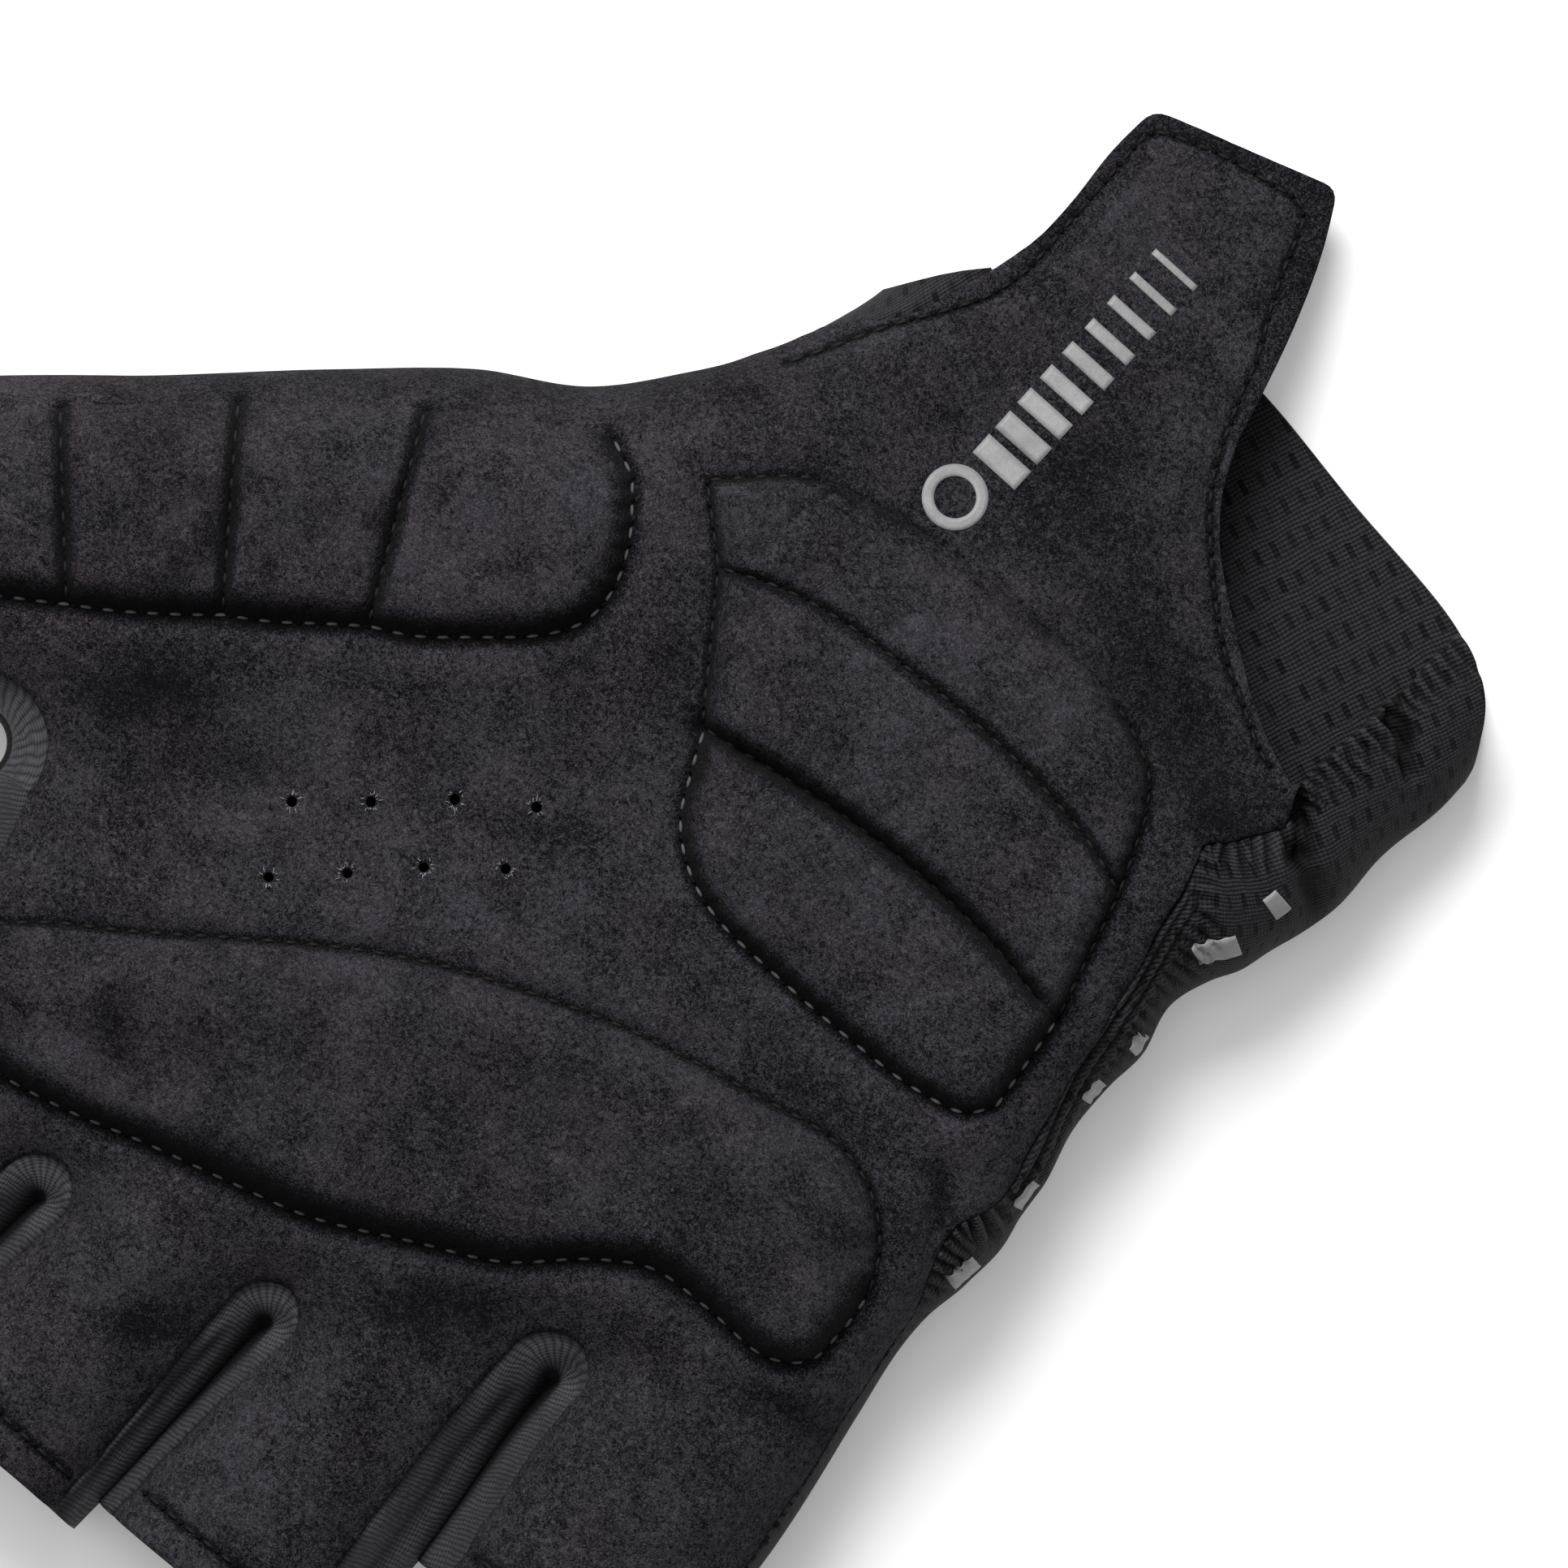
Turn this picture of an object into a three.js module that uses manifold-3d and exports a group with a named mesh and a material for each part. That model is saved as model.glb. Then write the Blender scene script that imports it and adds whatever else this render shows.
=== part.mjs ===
// A right-hand half-finger cycling glove, lying on its back with the palm up.
// Units are millimetres. +X points to the thumb side, +Y to the fingers, +Z up out of the palm.
// The glove is one puffed-up body: from its plan outline the surface rolls up to the palm and down to
// the floor. Every piece is a sheet cut out of that surface along its seams and given its cloth's thickness.
import * as THREE from "three";
import { mergeVertices } from "three/addons/utils/BufferGeometryUtils.js";
import Module from "manifold-3d";

// Cloth
const SUEDE_THICK = 1.4;
const KNIT_THICK = 1.8;
const JERSEY_THICK = 1.2;
const SEAM_GAP = 0.34;

// The rolled edge of the body, and how far round it the seams under the glove lie
const ROLL = 12;
const MIDDLE_SHARE = 0.46;
const UNDER_EDGE = 14;
const UNDER_FINGER_SEAM = 11;
const PALM_SIDE_LINE = 16.5;

// Pads
const PAD_CLEARANCE = 0.35;
const PAD_EDGE_THICK = 0.7;
const PAD_EDGE_INSET = 0.4;
const MOST_PAD_MARGIN = 0.2;

// Vent holes
const VENT_RADIUS = 0.75;
const VENT_SIDES = 8;
const VENT_PUNCH = 8;

// Mesh fineness
const CUFF_ROWS = 5;
const PALM_ROWS = 17;
const TAB_ROWS = 5;
const STRIP_COLUMNS = 4;
const BACK_COLUMNS = 4;
const ULNAR_COLUMNS = 6;
const THENAR_COLUMNS = 4;
const FOURCHETTE_COLUMNS = 6;
// Fineness of the lines that the surface is measured from
const FINE_POINTS = 140;
const FINE_ARC_ROWS = 8;
const FINE_SIDE_ROWS = 20;
// How far the strips' inner lines are drawn to their edges: on the heel, and beside the crotches
const ULNAR_SPREAD = 0.35;
const EDGE_DRAW = 0.8;

// Where the middle of the glove's outline lies in the drawing that the tables below are read from
const DRAWING_CENTRE = { x: 22.975, y: 5.13 };

// Height of the palm's surface over the floor along the hand
const HEIGHTS = [
  { y: -100, top: 6.2 },
  { y: -86, top: 7.8 },
  { y: -75, top: 10 },
  { y: -62, top: 12.8 },
  { y: -50, top: 15.6 },
  { y: -38, top: 18.4 },
  { y: -20, top: 20.8 },
  { y: 0, top: 21.8 },
  { y: 30, top: 22 },
  { y: 50, top: 21.2 },
  { y: 66, top: 20.2 },
  { y: 80, top: 19.4 },
  { y: 110, top: 18.8 },
];
const THUMB_DROP = { from: 55, to: 92, by: 2.4 };

// Soft hollows in the palm and the cuff. turn: the way that a hollow's length runs, in degrees from +X.
const FOLDS = [
  { x: -28, y: -37.5, turn: -12, long: 13, wide: 3.6, depth: 1.3 },
  { x: -39.5, y: 16, turn: 60, long: 6, wide: 4, depth: 1.1 },
  { x: 27, y: 21, turn: 42, long: 27, wide: 6, depth: 1.1 },
  { x: 6, y: -43, turn: 4, long: 16, wide: 4.5, depth: 0.9 },
  { x: -8, y: 14, turn: 6, long: 24, wide: 3.4, depth: 0.6 },
  { x: -44, y: -50.5, turn: -35, long: 7, wide: 1.9, depth: 1.6 },
  { x: -42, y: -36, turn: 30, long: 4, wide: 3, depth: 1.5 },
];

// Little-finger edge, from the wrist to the little finger's end.
// inset: how far in from the outline the palm panel's seam lies, or the cuff's free edge at the wrist.
const ULNAR_EDGE = [
  { x: -52.9, y: -62, inset: 11.2 },
  { x: -52.1, y: -50, inset: 11 },
  { x: -50.9, y: -38.5, inset: 10.8 },
  { x: -50.1, y: -28, inset: 12.4 },
  { x: -48.6, y: -23.5, inset: 9.6 },
  { x: -46.3, y: -19.3, inset: 6.3 },
  { x: -45.5, y: -15, inset: 4.6 },
  { x: -46.3, y: -10, inset: 4.1 },
  { x: -45.7, y: -5, inset: 2.8 },
  { x: -47.3, y: 5, inset: 2.4 },
  { x: -47.9, y: 9.7, inset: 2.2 },
  { x: -49.1, y: 14.5, inset: 4.1 },
  { x: -48.6, y: 19.3, inset: 4.3 },
  { x: -47.8, y: 24.5, inset: 1.3 },
  { x: -49.3, y: 36, inset: 1 },
  { x: -51.5, y: 48, inset: 1 },
  { x: -52.4, y: 62, inset: 1 },
  { x: -52, y: 73.6, inset: 1 },
];
const ULNAR_CORNER_Y = -38.5;
const ULNAR_BASE_Y = 50;

// Thumb edge, from the wrist to the thumb's end. wrap: the angle round the roll at which the suede ends,
// from 90 on top of the palm to 0 at the outline and below 0 where the suede wraps under.
const THENAR_EDGE = [
  { x: 23, y: -57.5, wrap: 62 },
  { x: 23.2, y: -50, wrap: 48 },
  { x: 24.9, y: -43, wrap: 22 },
  { x: 27.8, y: -36.5, wrap: -5 },
  { x: 32, y: -29.8, wrap: -20 },
  { x: 38.7, y: -21.8, wrap: -20 },
  { x: 48, y: -15.7, wrap: -20 },
  { x: 57.5, y: -7.2, wrap: -20 },
  { x: 71, y: 5.8, wrap: -20 },
  { x: 84.8, y: 18.4, wrap: -20 },
  { x: 98.3, y: 33.4, wrap: -20 },
];
const THENAR_CUFF_Y = -39.8;
const THENAR_BASE_Y = 14.1;

// The outline's run past the wrist and the finger ends, which only keeps the body open there
const RUN_OUT = 45;
const THENAR_RUN_OUT = [
  { x: 24.4, y: -62 },
  { x: 28, y: -69 },
  { x: 33, y: -80 },
  { x: 40, y: -100 },
];

// Rim of the knitted cuff, in plan, from the little-finger side to the thumb side
const CUFF_RIM = [
  { x: -52.4, y: -49.5 },
  { x: -51.6, y: -53 },
  { x: -48, y: -58.2 },
  { x: -42, y: -61.4 },
  { x: -25, y: -64 },
  { x: -12, y: -66 },
  { x: -4, y: -66.4 },
  { x: 4, y: -65.4 },
  { x: 10, y: -62.9 },
  { x: 15, y: -59 },
  { x: 19, y: -54.8 },
  { x: 23.4, y: -48.5 },
];

// Slits between the fingers. angles: the fan of directions round the slit's end. left and right: the facing
// edges of the two fingers from the slit to their ends. inset: how far from the slit the suede stops,
// from the slit's end to the finger's end.
const SLITS = [
  {
    name: "fourchette_little_ring",
    centre: { x: -24.3, y: 53.8 },
    radius: 0.6,
    angles: [180, 360],
    left: [{ x: -25.7, y: 60 }, { x: -27.4, y: 68 }, { x: -28.8, y: 75.4 }],
    right: [{ x: -23.9, y: 62 }, { x: -24.4, y: 76 }, { x: -24.7, y: 91.4 }],
    inset: [4.1, 4.1, 4.1, 4.1, 4.3, 4, 3.4, 3],
  },
  {
    name: "fourchette_ring_middle",
    centre: { x: 0.5, y: 68.7 },
    radius: 0.6,
    angles: [180, 360],
    left: [{ x: -0.1, y: 76 }, { x: -0.2, y: 84 }, { x: -0.4, y: 92.6 }],
    right: [{ x: 1.2, y: 76 }, { x: 1.6, y: 86 }, { x: 2, y: 96.2 }],
    inset: [3.7, 3.6, 3.5, 3.4, 3.3, 2.4, 1.8, 1.6],
  },
  {
    name: "fourchette_middle_index",
    centre: { x: 25.4, y: 74.5 },
    radius: 0.6,
    angles: [180, 360],
    left: [{ x: 24.9, y: 82 }, { x: 25.1, y: 89 }, { x: 25.3, y: 96.2 }],
    right: [{ x: 26.6, y: 82 }, { x: 27.4, y: 88 }, { x: 28.2, y: 92.6 }],
    inset: [3.7, 3.6, 3.5, 3.4, 3.3, 2.6, 2.1, 1.8],
  },
  {
    name: "thumb_web",
    centre: { x: 60.2, y: 45 },
    radius: 3.2,
    angles: [180, 311.5],
    left: [{ x: 54.2, y: 55 }, { x: 52.7, y: 66 }, { x: 52.2, y: 79 }, { x: 52.6, y: 92 }],
    right: [{ x: 68, y: 46.8 }, { x: 73.5, y: 51 }, { x: 79, y: 55.2 }],
    inset: [4, 4, 4, 4, 3.8, 3.4, 3.1, 3],
  },
];
// Rows of a finger: some round the slit's end, and the rest shared out along its side
const ARC_ROWS = 3;
const SIDE_ROWS = 4;
const FINGER_SHARES = [0, 0.05, 0.1, 0.15, 0.36, 0.57, 0.78, 1];

// Palm panel's free edge at the wrist, from the little-finger corner to the pull tab
const WRIST_EDGE = [
  { x: -40.1, y: -38.6 },
  { x: -35, y: -40.6 },
  { x: -31, y: -42.7 },
  { x: -27, y: -45.4 },
  { x: -22, y: -48.9 },
  { x: -18, y: -52.2 },
  { x: -14.8, y: -56.3 },
  { x: -12.6, y: -61 },
];
// Where the lines between the fingers start: on the palm at the tab's root, and on the back at the cuff's rim
const TAB_ROOT = [
  { x: -12.6, y: -61 },
  { x: -7.8, y: -60.5 },
  { x: -3, y: -60 },
  { x: 1.8, y: -59.4 },
];
const RIM_STARTS = [-24, -10, 0, 8];
const TAB_LEFT = [
  { x: -12.6, y: -61 },
  { x: -11.2, y: -66.5 },
  { x: -9.1, y: -73.5 },
  { x: -6.5, y: -80.2 },
  { x: -3.4, y: -86.1 },
];
const TAB_RIGHT = [
  { x: 16.5, y: -57.2 },
  { x: 15.4, y: -62 },
  { x: 15.2, y: -67.5 },
  { x: 15.6, y: -74 },
  { x: 15.3, y: -79.6 },
];
// The backing of the pull tab starts inside the wrist and follows the tab's outline, a little inside it
const BACKING = { rootY: -50, leftX: -9, rightX: 12, gap: 0.35, side: 0.5, columns: 6, rows: 8 };

// Pads. Each is a cushion, with a row for each section across it: from one edge, a, to the other, b.
const PADS = [
  {
    name: "ulnar_pad_upper",
    puff: 2.2,
    along: 10,
    across: 4,
    sections: [
      { ax: -38.9, ay: 4, bx: -38.2, by: -2 },
      { ax: -37, ay: 6.6, bx: -37.4, by: -5.6 },
      { ax: -32, ay: 8.1, bx: -32, by: -7.1 },
      { ax: -24, ay: 8.8, bx: -25, by: -7.7 },
      { ax: -14, ay: 9, bx: -17, by: -7.9 },
      { ax: -6, ay: 8.7, bx: -10, by: -7.3 },
      { ax: -1, ay: 7.1, bx: -4, by: -6.4 },
      { ax: 3, ay: 4, bx: 1, by: -5.7 },
      { ax: 5.6, ay: -0.6, bx: 4.5, by: -5 },
      { ax: 6.8, ay: -3.6, bx: 6.2, by: -4.6 },
    ],
  },
  {
    name: "ulnar_pad_middle",
    puff: 1.9,
    along: 10,
    across: 4,
    sections: [
      { ax: -37.2, ay: -7.2, bx: -34.2, by: -18.8 },
      { ax: -32, ay: -7.6, bx: -30, by: -20.6 },
      { ax: -25, ay: -8.2, bx: -24, by: -22 },
      { ax: -17, ay: -8.4, bx: -15, by: -22.6 },
      { ax: -9, ay: -7.8, bx: -6, by: -22.3 },
      { ax: -2, ay: -6.7, bx: 3, by: -21.3 },
      { ax: 4, ay: -5.6, bx: 10, by: -19.6 },
      { ax: 7.6, ay: -4.9, bx: 16.2, by: -16.8 },
    ],
  },
  {
    name: "ulnar_pad_lower",
    puff: 1.6,
    along: 10,
    across: 4,
    sections: [
      { ax: -33.6, ay: -20.4, bx: -30.6, by: -27.4 },
      { ax: -29, ay: -21.8, bx: -27.5, by: -30.8 },
      { ax: -23, ay: -22.9, bx: -21, by: -33.2 },
      { ax: -14, ay: -23.2, bx: -12, by: -34.1 },
      { ax: -5, ay: -22.9, bx: -3, by: -34 },
      { ax: 4, ay: -21.8, bx: 7, by: -32.9 },
      { ax: 11, ay: -19.9, bx: 15.5, by: -30 },
      { ax: 17.4, ay: -17.4, bx: 22.8, by: -23 },
    ],
  },
  {
    name: "metacarpal_pad",
    puff: 2.3,
    along: 16,
    across: 5,
    sections: [
      { ax: -42.4, ay: 30, bx: -42, by: 26.4 },
      { ax: -42, ay: 35, bx: -40.2, by: 22.4 },
      { ax: -38.5, ay: 37.8, bx: -37, by: 19.3 },
      { ax: -31, ay: 37.9, bx: -32.5, by: 17.6 },
      { ax: -24.5, ay: 38.9, bx: -28, by: 17.5 },
      { ax: -19.5, ay: 42.4, bx: -21, by: 19 },
      { ax: -13, ay: 47.9, bx: -13.5, by: 21 },
      { ax: -5, ay: 52.8, bx: -6, by: 23.3 },
      { ax: 4, ay: 57.5, bx: 2, by: 26.3 },
      { ax: 12, ay: 60.5, bx: 10, by: 30.5 },
      { ax: 21, ay: 63.4, bx: 18, by: 35.6 },
      { ax: 30, ay: 66.2, bx: 27, by: 41.4 },
      { ax: 38, ay: 67.6, bx: 36, by: 48.3 },
      { ax: 44.5, ay: 66.6, bx: 42.5, by: 53 },
      { ax: 48, ay: 62.4, bx: 47, by: 57.2 },
    ],
  },
  {
    name: "thenar_pad_1",
    puff: 2.2,
    along: 6,
    across: 6,
    sections: [
      { ax: 29.2, ay: -18, bx: 33.4, by: -19.7 },
      { ax: 25.2, ay: -13, bx: 36.4, by: -18 },
      { ax: 23.2, ay: -8.2, bx: 39, by: -16.4 },
      { ax: 23.3, ay: -4.2, bx: 41.4, by: -14.9 },
      { ax: 25.6, ay: 0, bx: 43.6, by: -13.4 },
      { ax: 30.4, ay: 4.6, bx: 45.6, by: -12 },
      { ax: 34.8, ay: 8, bx: 47.2, by: -10.6 },
      { ax: 38.2, ay: 10, bx: 48.5, by: -9.4 },
    ],
  },
  {
    name: "thenar_pad_2",
    puff: 2.2,
    along: 4,
    across: 6,
    sections: [
      { ax: 39, ay: 10.4, bx: 49.1, by: -8.8 },
      { ax: 42.4, ay: 12.8, bx: 53.4, by: -5.6 },
      { ax: 46, ay: 16, bx: 58, by: -1.9 },
      { ax: 50, ay: 18.6, bx: 62.8, by: 2.2 },
    ],
  },
  {
    name: "thenar_pad_3",
    puff: 2.1,
    along: 4,
    across: 6,
    sections: [
      { ax: 50.6, ay: 19.4, bx: 63.4, by: 2.8 },
      { ax: 54, ay: 22.6, bx: 67.6, by: 6.6 },
      { ax: 58, ay: 25.6, bx: 71.6, by: 10.4 },
      { ax: 62, ay: 28.4, bx: 75.6, by: 14.4 },
    ],
  },
  {
    name: "thenar_pad_4",
    puff: 2,
    along: 4,
    across: 6,
    sections: [
      { ax: 62.6, ay: 28.8, bx: 76.1, by: 15 },
      { ax: 66.2, ay: 31.3, bx: 79.6, by: 18.6 },
      { ax: 69.8, ay: 33.7, bx: 82.6, by: 22.4 },
      { ax: 73.6, ay: 35.4, bx: 83.2, by: 27.4 },
    ],
  },
];

const VENTS = [
  { x: 12.7, y: 19 },
  { x: 18.8, y: 24.3 },
  { x: 24, y: 29.8 },
  { x: 29.5, y: 35.3 },
  { x: 14.5, y: 12.5 },
  { x: 21, y: 17.3 },
  { x: 27, y: 23 },
  { x: 32.8, y: 28.2 },
];

const FINISHES = {
  suede: { color: 0x2b292c, roughness: 0.95, metalness: 0 },
  knit: { color: 0x17171a, roughness: 0.85, metalness: 0 },
  jersey: { color: 0x2c2c2e, roughness: 0.6, metalness: 0 },
};

const HALF_PI = Math.PI / 2;
const radians = THREE.MathUtils.degToRad;

// Value of a table's column at a place, by straight lines between rows in rising order of key
function lookUp(table, key, column, at) {
  const above = table.findIndex((row) => row[key] > at);
  if (above === 0) return table[0][column];
  if (above < 0) return table[table.length - 1][column];
  const [low, high] = [table[above - 1], table[above]];
  return THREE.MathUtils.mapLinear(at, low[key], high[key], low[column], high[column]);
}

// Smooth curve through a table's rows; the third coordinate carries a further column
function curveThrough(rows, column) {
  const points = rows.map((row) => new THREE.Vector3(row.x, row.y, column ? row[column] : 0));
  return new THREE.CatmullRomCurve3(points, false, "centripetal");
}

// Station on an edge, at a share of its length: its place on the outline, the direction into the glove,
// and the extra column's value
function stationAt(curve, share, inwardTurn) {
  const place = curve.getPointAt(share);
  const tangent = curve.getTangentAt(share).setZ(0).normalize();
  const inward = new THREE.Vector2(-tangent.y, tangent.x).multiplyScalar(inwardTurn);
  return { x: place.x, y: place.y, inward, extra: place.z };
}

function stationsAlong(curve, from, to, shares, inwardTurn) {
  return shares.map((share) => stationAt(curve, THREE.MathUtils.lerp(from, to, share), inwardTurn));
}

function evenShares(count) {
  return Array.from({ length: count + 1 }, (_, i) => i / count);
}

// Share between low and high at which a test that starts as true turns false
function turningShare(low, high, isBefore) {
  for (let step = 0; step < 30; step++) {
    const middle = (low + high) / 2;
    if (isBefore(middle)) low = middle;
    else high = middle;
  }
  return high;
}

const shareAtY = (curve, y) => turningShare(0, 1, (share) => curve.getPointAt(share).y < y);

const ulnarCurve = curveThrough(ULNAR_EDGE, "inset");
const thenarCurve = curveThrough(THENAR_EDGE, "wrap");
const rimLine = curveThrough(CUFF_RIM).getPoints(FINE_POINTS).sort((p, q) => p.x - q.x);
const rimY = (x) => lookUp(rimLine, "x", "y", x);

// The finger side of a slit: stations from the slit's end, around its arc and along the finger's edge
function slitSide(slit, side, arcRows, sideRows) {
  const turn = side === "left" ? -1 : 1;
  const [first, last] = slit.angles.map(radians);
  const middle = (first + last) / 2;
  const centre = new THREE.Vector2(slit.centre.x, slit.centre.y);
  const around = (angle) => {
    const inward = new THREE.Vector2(Math.cos(angle), Math.sin(angle));
    const place = centre.clone().addScaledVector(inward, slit.radius);
    return { x: place.x, y: place.y, inward };
  };
  const stations = [];
  for (let row = 0; row <= arcRows; row++) {
    stations.push(around(middle + (turn * (last - first) * row) / (2 * arcRows)));
  }
  const edge = curveThrough([stations[arcRows], ...slit[side]]);
  for (let row = 1; row <= sideRows; row++) {
    stations.push(stationAt(edge, row / sideRows, -turn));
  }
  stations.forEach((station, row) => (station.extra = slit.inset[row]));
  return stations;
}

// The whole outline of the body as polylines, which the height of the surface is measured from
function runOut(from, through) {
  const away = new THREE.Vector2(through.x - from.x, through.y - from.y).setLength(RUN_OUT);
  return { x: through.x + away.x, y: through.y + away.y };
}

function withRunOuts(points) {
  const count = points.length;
  return [
    runOut(points[1], points[0]),
    ...points,
    runOut(points[count - 2], points[count - 1]),
  ];
}

const slitSidesAt = (arcRows, sideRows) =>
  SLITS.map((slit) => ({
    left: slitSide(slit, "left", arcRows, sideRows),
    right: slitSide(slit, "right", arcRows, sideRows),
  }));
const slitSides = slitSidesAt(ARC_ROWS, SIDE_ROWS);
const slitOutline = ({ left, right }) => withRunOuts([...left.slice().reverse(), ...right.slice(1)]);
const OUTLINE = [
  withRunOuts(ulnarCurve.getPoints(FINE_POINTS)),
  [...THENAR_RUN_OUT.slice().reverse(), ...withRunOuts(thenarCurve.getPoints(FINE_POINTS)).slice(1)],
  ...slitSidesAt(FINE_ARC_ROWS, FINE_SIDE_ROWS).map(slitOutline),
];

function distanceToSegment(x, y, p, q) {
  const [dx, dy] = [q.x - p.x, q.y - p.y];
  const share = ((x - p.x) * dx + (y - p.y) * dy) / (dx * dx + dy * dy || 1);
  const t = THREE.MathUtils.clamp(share, 0, 1);
  return Math.hypot(x - p.x - t * dx, y - p.y - t * dy);
}

function distanceToOutline(x, y) {
  let nearest = Infinity;
  for (const line of OUTLINE) {
    for (let i = 1; i < line.length; i++) {
      nearest = Math.min(nearest, distanceToSegment(x, y, line[i - 1], line[i]));
    }
  }
  return nearest;
}

function foldDepth(x, y) {
  let depth = 0;
  for (const fold of FOLDS) {
    const [dx, dy] = [x - fold.x, y - fold.y];
    const [c, s] = [Math.cos(radians(fold.turn)), Math.sin(radians(fold.turn))];
    const [along, across] = [(dx * c + dy * s) / fold.long, (dy * c - dx * s) / fold.wide];
    depth += fold.depth * Math.exp(-along * along - across * across);
  }
  return depth;
}

function palmHeight(x, y) {
  const drop = THUMB_DROP.by * THREE.MathUtils.smoothstep(x, THUMB_DROP.from, THUMB_DROP.to);
  return lookUp(HEIGHTS, "y", "top", y) - drop - foldDepth(x, y);
}

// Height at a plan place for a point at an angle round the roll: 90 degrees is the palm's top, -90 the floor
function heightAtAngle(x, y, angle) {
  const top = palmHeight(x, y);
  const middle = top * MIDDLE_SHARE;
  const reach = angle > 0 ? top - middle : middle;
  return middle + reach * Math.sin(angle);
}

// Point of the palm's surface (side 1) or the back's (side -1) over a plan place
function surfacePoint(x, y, side) {
  const inset = Math.min(distanceToOutline(x, y), ROLL);
  const angle = side * Math.acos(1 - inset / ROLL);
  return new THREE.Vector3(x, y, heightAtAngle(x, y, angle));
}

// Point of the surface at a station, a signed way round the roll from the outline: up is positive
function rollPoint(station, way) {
  const round = Math.abs(way);
  const angle = Math.min(round / ROLL, HALF_PI);
  const inset = ROLL * (1 - Math.cos(angle)) + Math.max(0, round - ROLL * HALF_PI);
  const x = station.x + station.inward.x * inset;
  const y = station.y + station.inward.y * inset;
  return new THREE.Vector3(x, y, heightAtAngle(x, y, Math.sign(way) * angle));
}

// The way round the roll that lies a plan distance in from the outline
function wayAtInset(inset) {
  if (inset >= ROLL) return ROLL * HALF_PI + inset - ROLL;
  return ROLL * Math.acos(1 - inset / ROLL);
}

// Outward direction of the body's surface at a point, from the slope of its implicit function
function outwardAt(point) {
  const step = 0.05;
  const level = (x, y, z) => {
    const top = palmHeight(x, y);
    const middle = top * MIDDLE_SHARE;
    const reach = z > middle ? top - middle : middle;
    const inset = Math.min(distanceToOutline(x, y), ROLL);
    return (1 - inset / ROLL) ** 2 + ((z - middle) / reach) ** 2;
  };
  const { x, y, z } = point;
  return new THREE.Vector3(
    level(x + step, y, z) - level(x - step, y, z),
    level(x, y + step, z) - level(x, y - step, z),
    level(x, y, z + step) - level(x, y, z - step),
  ).normalize();
}

// Triangles of a grid of point numbers, cut along the shorter diagonal, without the ones that a repeated
// point closes up
function gridTriangles(numbers, points) {
  const triangles = [];
  for (let row = 1; row < numbers.length; row++) {
    for (let column = 1; column < numbers[row].length; column++) {
      const [a, b] = [numbers[row - 1][column - 1], numbers[row - 1][column]];
      const [c, d] = [numbers[row][column], numbers[row][column - 1]];
      const isFirstShorter = points[a].distanceTo(points[c]) < points[b].distanceTo(points[d]);
      triangles.push(...(isFirstShorter ? [[a, b, c], [a, c, d]] : [[a, b, d], [b, c, d]]));
    }
  }
  return triangles.filter(([a, b, c]) => a !== b && b !== c && a !== c);
}

// Closed solid from patches of its outer face, which are grids that share their edge points. innerOf gives
// the point of the inner face behind a point of the outer one.
function shell(patches, innerOf) {
  const numbers = new Map();
  const outer = [];
  const numberOf = (point) => {
    const key = point.toArray().map((value) => value.toFixed(3)).join();
    if (!numbers.has(key)) {
      numbers.set(key, outer.length);
      outer.push(point);
    }
    return numbers.get(key);
  };
  const numbered = patches.map((grid) => grid.map((row) => row.map(numberOf)));
  const inner = outer.map(innerOf);
  const facesOut = ([a, b, c]) => {
    const side = outer[b].clone().sub(outer[a]).cross(outer[c].clone().sub(outer[a]));
    return side.dot(outer[a].clone().sub(inner[a]));
  };
  const triangles = numbered.map((grid) => gridTriangles(grid, outer)).flatMap((patch) => {
    const turned = patch.reduce((sum, triangle) => sum + facesOut(triangle), 0) < 0;
    return turned ? patch.map(([a, b, c]) => [a, c, b]) : patch;
  });
  const edges = new Map();
  for (const [a, b, c] of triangles) {
    for (const [p, q] of [[a, b], [b, c], [c, a]]) edges.set(`${p},${q}`, [p, q]);
  }
  const count = outer.length;
  const index = triangles.flatMap(([a, b, c]) => [a, b, c, a + count, c + count, b + count]);
  for (const [p, q] of edges.values()) {
    if (!edges.has(`${q},${p}`)) index.push(q, p, p + count, q, p + count, q + count);
  }
  const geometry = new THREE.BufferGeometry();
  const positions = [...outer, ...inner].flatMap((point) => point.toArray());
  geometry.setAttribute("position", new THREE.Float32BufferAttribute(positions, 3));
  geometry.setIndex(index);
  return geometry;
}

// Cloth of one thickness whose outer face is the given patches
function cloth(patches, thickness) {
  return shell(patches, (point) => point.clone().addScaledVector(outwardAt(point), -thickness));
}

// Grid between two lines of points, with plan places shared out and heights from the surface
function stripBetween(left, right, columns, side, share, bow) {
  return left.map((start, row) => {
    const end = right[row];
    return Array.from({ length: columns + 1 }, (_, column) => {
      if (column === 0) return start;
      if (column === columns) return end;
      const s = share(column / columns, row);
      const x = THREE.MathUtils.lerp(start.x, end.x, s);
      const y = THREE.MathUtils.lerp(start.y, end.y, s);
      const shift = bow(s, row);
      return surfacePoint(x + shift.x, y + shift.y, side);
    });
  });
}

// Grid round the roll at a row of stations, between two ways each
function rollBetween(stations, columns, fromWay, toWay) {
  return stations.map((station) =>
    Array.from({ length: columns + 1 }, (_, column) =>
      rollPoint(station, THREE.MathUtils.lerp(fromWay(station), toWay(station), column / columns)),
    ),
  );
}

// Line of points on the surface from a plan place to a point that already lies on it
function lineTo(start, end, rows, side) {
  const line = evenShares(rows).map((share) => {
    const x = THREE.MathUtils.lerp(start.x, end.x, share);
    return surfacePoint(x, THREE.MathUtils.lerp(start.y, end.y, share), side);
  });
  line[rows] = end;
  return line;
}

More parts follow.
